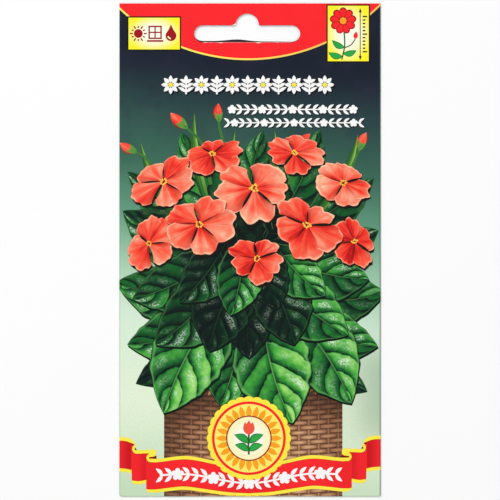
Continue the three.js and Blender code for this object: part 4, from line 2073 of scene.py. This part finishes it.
@dataclass
class Seal:
    """A round seal over the ribbon's middle: a sunflower with a sprig in its heart."""

    centre: Point = (-0.34, -57.6)
    level: float = 15.5
    rim: float = 12.9
    scallops: int = 28
    ring: float = 11.3
    face: float = 10.5
    rays: int = 24
    ray_span: Point = (6.3, 10.1)
    ray_width: float = 1.75
    heart_ring: float = 7.0
    heart: float = 6.6

    # Each pair of leaves has a height, a reach, a lift and a width. Each sepal has a lean and a width.
    leaves: ClassVar[tuple[tuple[float, ...], ...]] = ((-3.9, 4.3, 1.9, 2.3), (-1.5, 4.5, 2.6, 2.4))
    sepals: ClassVar[tuple[Point, ...]] = ((-1.15, 1.7), (1.15, 1.7), (0.0, 2.1))

    def build_sprig(self) -> None:
        """A leafy shoot with a coral bud."""
        x, y = self.centre
        edges = Film("seal_sprig_edges", Inks.STEM, self.level + 5.4)
        edges.stroke([(x, y - 5.0), (x - 0.15, y - 2.0), (x, y + 1.6)], 0.6)
        leaves = Film("seal_sprig_leaves", Inks.LEAF, self.level + 6.2)
        for rise, reach, lift, width in self.leaves:
            for hand in (-1, 1):
                root, tip = (x, y + rise), (x + hand * reach, y + rise + lift)
                edges.area(blade(root, tip, width, hand * 0.5, 12), rise=0.4)
                inner = blade(blend(root, tip, 0.07), blend(root, tip, 0.95), width - 0.6, hand * 0.47, 12)
                leaves.area(inner)
        edges.lay()
        leaves.lay()
        bud = Film("seal_bud", Inks.CORAL, self.level + 6.8)
        for i, (lean, width) in enumerate(self.sepals):
            tip = (x + lean, y + 5.0 + 0.5 * (lean == 0))
            bud.area(blade((x + lean * 0.2, y + 1.1), tip, width, -lean * 0.2, 10), rise=i * 0.4)
        bud.lay()

    def build_rings(self) -> None:
        """The scalloped gold rim and the red ring."""
        rim = rosette(self.centre, self.rim, self.scallops, 0.04)
        Film("seal_rim", Inks.GOLD, self.level).area(rim).lay()
        Film("seal_ring", Inks.RED, self.level + 1).area(disc(self.centre, self.ring, 60)).lay()

    def build_heart(self) -> None:
        """The disc, its rays and the pale heart."""
        centre, level = self.centre, self.level
        Film("seal_disc", Inks.PALE_GOLD, level + 2).area(disc(centre, self.face, 60)).lay()
        rays = Film("seal_rays", Inks.AMBER, level + 3)
        for i in range(self.rays):
            rays.area(blade(*spoke(centre, self.ray_span, 360 / self.rays * i), self.ray_width, 0.0, 8))
        rays.lay()
        Film("seal_heart_ring", Inks.MAROON, level + 3.8).area(disc(centre, self.heart_ring, 48)).lay()
        reach, pale, deep = (self.heart, self.heart), tint(255, 255, 246), tint(255, 246, 190)
        glow = GlowInk("seal_glow", middle=centre, reach=reach, bright=pale, rim=deep, core=0.3)
        Film("seal_heart", glow, level + 4.6).area(disc(centre, self.heart, 48)).lay()

    def build(self) -> None:
        """Prints the rings, the heart and the sprig."""
        self.build_rings()
        self.build_heart()
        self.build_sprig()


# ------------ The back print and the contents


@dataclass
class BackPanel:
    """The plain sowing panel on the back: a header band, care signs, a calendar strip and thin rules."""

    side: float = 33.5
    header: float = 57.0
    border: Point = (56.4, 57.1)
    card: Point = (-56.0, 51.5)
    frame_line: float = 0.4
    sign_height: float = 40.0
    sign_gap: float = 20.0
    sign_radius: float = 6.2
    calendar_height: float = 24.0
    cell: Point = (5.0, 6.4)
    cell_line: float = 0.35
    rules: Point = (14.0, -34.0)
    rule_pitch: float = 4.5
    rule_length: float = 28.0
    rule_width: float = 0.24
    columns: Point = (-30.0, 2.0)
    garland_height: float = -45.5
    sowing: ClassVar[tuple[int, ...]] = (2, 3, 4)
    blooming: ClassVar[tuple[int, ...]] = (5, 6, 7, 8, 9)

    def film(self, name: str, finish: Finish, level: float) -> Film:
        """A film on the back."""
        return Film(f"back_{name}", finish, level, Face.BACK)

    def build_ground(self) -> None:
        """The header band, and a cream card in a thin frame."""
        band = block(-FORM.side, FORM.side, self.header, FORM.top + 1)
        slot = FORM.slot(lambda x: 0.1 - FORM.lip_gap(x))
        self.film("header", Inks.SEA, 1).area(band, slot[::-1]).lay()
        self.film("header_border", Inks.PALE_GOLD, 2).area(block(-FORM.side, FORM.side, *self.border)).lay()
        side, line, (low, high) = self.side, self.frame_line, self.card
        frame_outline = block(-side - line, side + line, low - line, high + line)
        self.film("card_frame", Inks.SEA, 1).area(frame_outline).lay()
        self.film("card", Inks.CREAM, 2).area(block(-side, side, low, high)).lay()

    def build_signs(self) -> None:
        """Three round signs: sun, water and sprout."""
        discs = self.film("sign_discs", Inks.SEA, 3)
        marks = self.film("sign_marks", Inks.WHITE, 4)
        signs = CareSigns(marks, 1.75)
        for i, sign in enumerate((signs.sun, signs.drop, signs.sprout)):
            at = (self.sign_gap * (i - 1), self.sign_height)
            discs.area(disc(at, self.sign_radius, 40))
            sign(at)
        discs.lay()
        marks.lay()

    def build_calendar(self) -> None:
        """Twelve cells in a row, coloured for sowing and for flowering. The back reads from +X to -X."""
        y, line, (across, tall) = self.calendar_height, self.cell_line, self.cell
        inks = {"plain": Inks.MINT, "sowing": Inks.AMBER, "bloom": Inks.CORAL}
        films = {kind: self.film(f"calendar_{kind}", ink, 4) for kind, ink in inks.items()}
        frames = self.film("calendar_frame", Inks.SEA, 3)
        low, high, gap = y - tall / 2, y + tall / 2, 0.18
        frames.area(block(-6 * across - line, 6 * across + line, low - line, high + line))
        for i in range(12):
            kind = "sowing" if i in self.sowing else "bloom" if i in self.blooming else "plain"
            left = (5 - i) * across
            films[kind].area(block(left + gap, left + across - gap, low, high))
        frames.lay()
        for each in films.values():
            each.lay()

    def build_rules(self) -> None:
        """Thin rules in two columns, as under hand-written notes."""
        film = self.film("rules", Inks.RULE, 3)
        high, low = self.rules
        half = self.rule_width / 2
        for column in self.columns:
            for y in lines(low, high, self.rule_pitch):
                film.area(block(column, column + self.rule_length, y - half, y + half))
        film.lay()

    def build(self) -> None:
        """Prints the panel."""
        self.build_ground()
        self.build_signs()
        self.build_calendar()
        self.build_rules()
        height = self.garland_height
        Garland("back_garland", height, -24.0, 24.0, 5.2, 3.2, bloom_each=5, face=Face.BACK).build()


@dataclass
class Contents:
    """What the packet holds inside: a glassine sachet, and the seeds in it with their wrinkled coats."""

    glassine: Finish = GlassineFinish("milky_glassine")
    coat: Finish = SeedCoatFinish("fringed_seed_coat")
    fineness: int = 4
    wrinkle: float = 0.035
    pit: float = 0.015

    def seed(self, name: str, node: Object) -> None:
        """Makes a finer, rounded seed in the place of its faceted solid, with a wrinkled and pitted coat.

        Args:
            name: the seed's name.
            node: its solid.
        """
        mesh = bmesh.new()
        mesh.from_mesh(node.data)
        bmesh.ops.remove_doubles(mesh, verts=mesh.verts, dist=1e-6)
        bmesh.ops.scale(mesh, vec=(1 / MM, 1 / MM, 1 / MM), verts=mesh.verts)
        rounded = {"smooth": 1.0, "smooth_falloff": "LINEAR", "use_grid_fill": True}
        bmesh.ops.subdivide_edges(mesh, edges=mesh.edges, cuts=self.fineness, **rounded)
        mesh.normal_update()
        sunk = {
            vert: self.wrinkle * noise.noise(vert.co * 2.2) + self.pit * noise.noise(vert.co * 6.0)
            for vert in mesh.verts
        }
        for vert, depth in sunk.items():
            vert.co -= vert.normal * (depth + self.wrinkle)
        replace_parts(finish_piece(mesh, f"{name}_coat", [self.coat]), name)

    def build(self) -> None:
        """Gives the sachet its finish, and makes the seeds."""
        for name, node in list(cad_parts.items()):
            if name.startswith("seed"):
                self.seed(name, node)
            elif name == "sachet":
                for material_slot in node.material_slots:
                    material_slot.material = self.glassine.material()
                LOG.info("%s: %s", name, self.glassine.name)


# ------------ The studio


@dataclass
class Studio:
    """A plain pale table, soft light from the upper left and a camera straight above."""

    lens: float = 200.0
    sensor: float = 36.0
    view_across: float = 153.2
    floor_size: float = 3000.0
    sky: float = 0.5

    # Each soft box has a name, a place and a side in metres, and a power in watts.
    softboxes: ClassVar[tuple[tuple[str, Triple, float, float], ...]] = (
        ("key_softbox", (-0.95, 1.15, 1.7), 1.3, 30.0),
        ("fill_softbox", (1.2, -0.8, 1.9), 2.0, 9.0),
    )

    def floor(self) -> None:
        """Lays the tabletop."""
        mesh = bmesh.new()
        bmesh.ops.create_grid(mesh, x_segments=1, y_segments=1, size=self.floor_size / 2 * MM)
        data = bpy.data.meshes.new("tabletop")
        mesh.to_mesh(data)
        mesh.free()
        data.materials.append(FloorFinish("tabletop").material())
        table = new_object("tabletop", data)

    def light(self, name: str, place: Vector, size: float, power: float) -> None:
        """Hangs a soft box that faces the packet.

        Args:
            name: what it is called.
            place: where it hangs, in metres.
            size: its side, in metres.
            power: in watts.
        """
        lamp = bpy.data.lights.new(name, "AREA")
        lamp.size = size
        lamp.energy = power
        holder = new_object(name, lamp)
        holder.location = place
        holder.rotation_euler = (-place).to_track_quat("-Z", "Y").to_euler()

    def camera(self) -> None:
        """Stands the camera over the packet, looking straight down."""
        seen = bpy.data.cameras.new("overhead")
        seen.lens = self.lens
        seen.sensor_width = self.sensor
        seen.clip_start, seen.clip_end = 0.01, 20
        holder = new_object("overhead", seen)
        holder.location = (0, 0, self.view_across * MM * self.lens / self.sensor)
        bpy.context.scene.camera = holder

    def build(self) -> None:
        """Sets up the table, the lights and the camera."""
        self.floor()
        for name, place, size, power in self.softboxes:
            self.light(name, Vector(place), size, power)
        world = bpy.data.worlds.new("studio")
        world.use_nodes = True
        backdrop = world.node_tree.nodes["Background"]
        backdrop.inputs[0].default_value = (1, 1, 1, 1)
        backdrop.inputs[1].default_value = self.sky
        bpy.context.scene.world = world
        bpy.context.scene.view_settings.view_transform = "Standard"
        self.camera()


def main() -> None:
    """Builds the packet and its studio."""
    logging.basicConfig(level=logging.INFO, format="%(name)s: %(message)s")
    Envelope().build()
    Header().build()
    CareLabel("care_label", left=-37.6, right=-21.1, low=61.0, high=71.55).build()
    HeightLabel("height_label", left=23.4, right=36.75, low=57.4, high=75.2).build()
    Frieze(left=-27.2, right=25.8, middle=50.6, tall=5.8, blooms=6).build()
    for name, height, left, right, tall, pitch in (
        ("upper_slogan", 43.05, -5.5, 31.6, 3.1, 2.32),
        ("lower_slogan", 38.95, -7.0, 34.0, 2.8, 2.28),
    ):
        Garland(name, height, left, right, tall, pitch, bloom_each=4, shadow=(0.28, -0.3)).build()
    Picture().build()
    Ribbon().build()
    Seal().build()
    BackPanel().build()
    Contents().build()
    Studio().build()


if __name__ == "__main__":
    main()
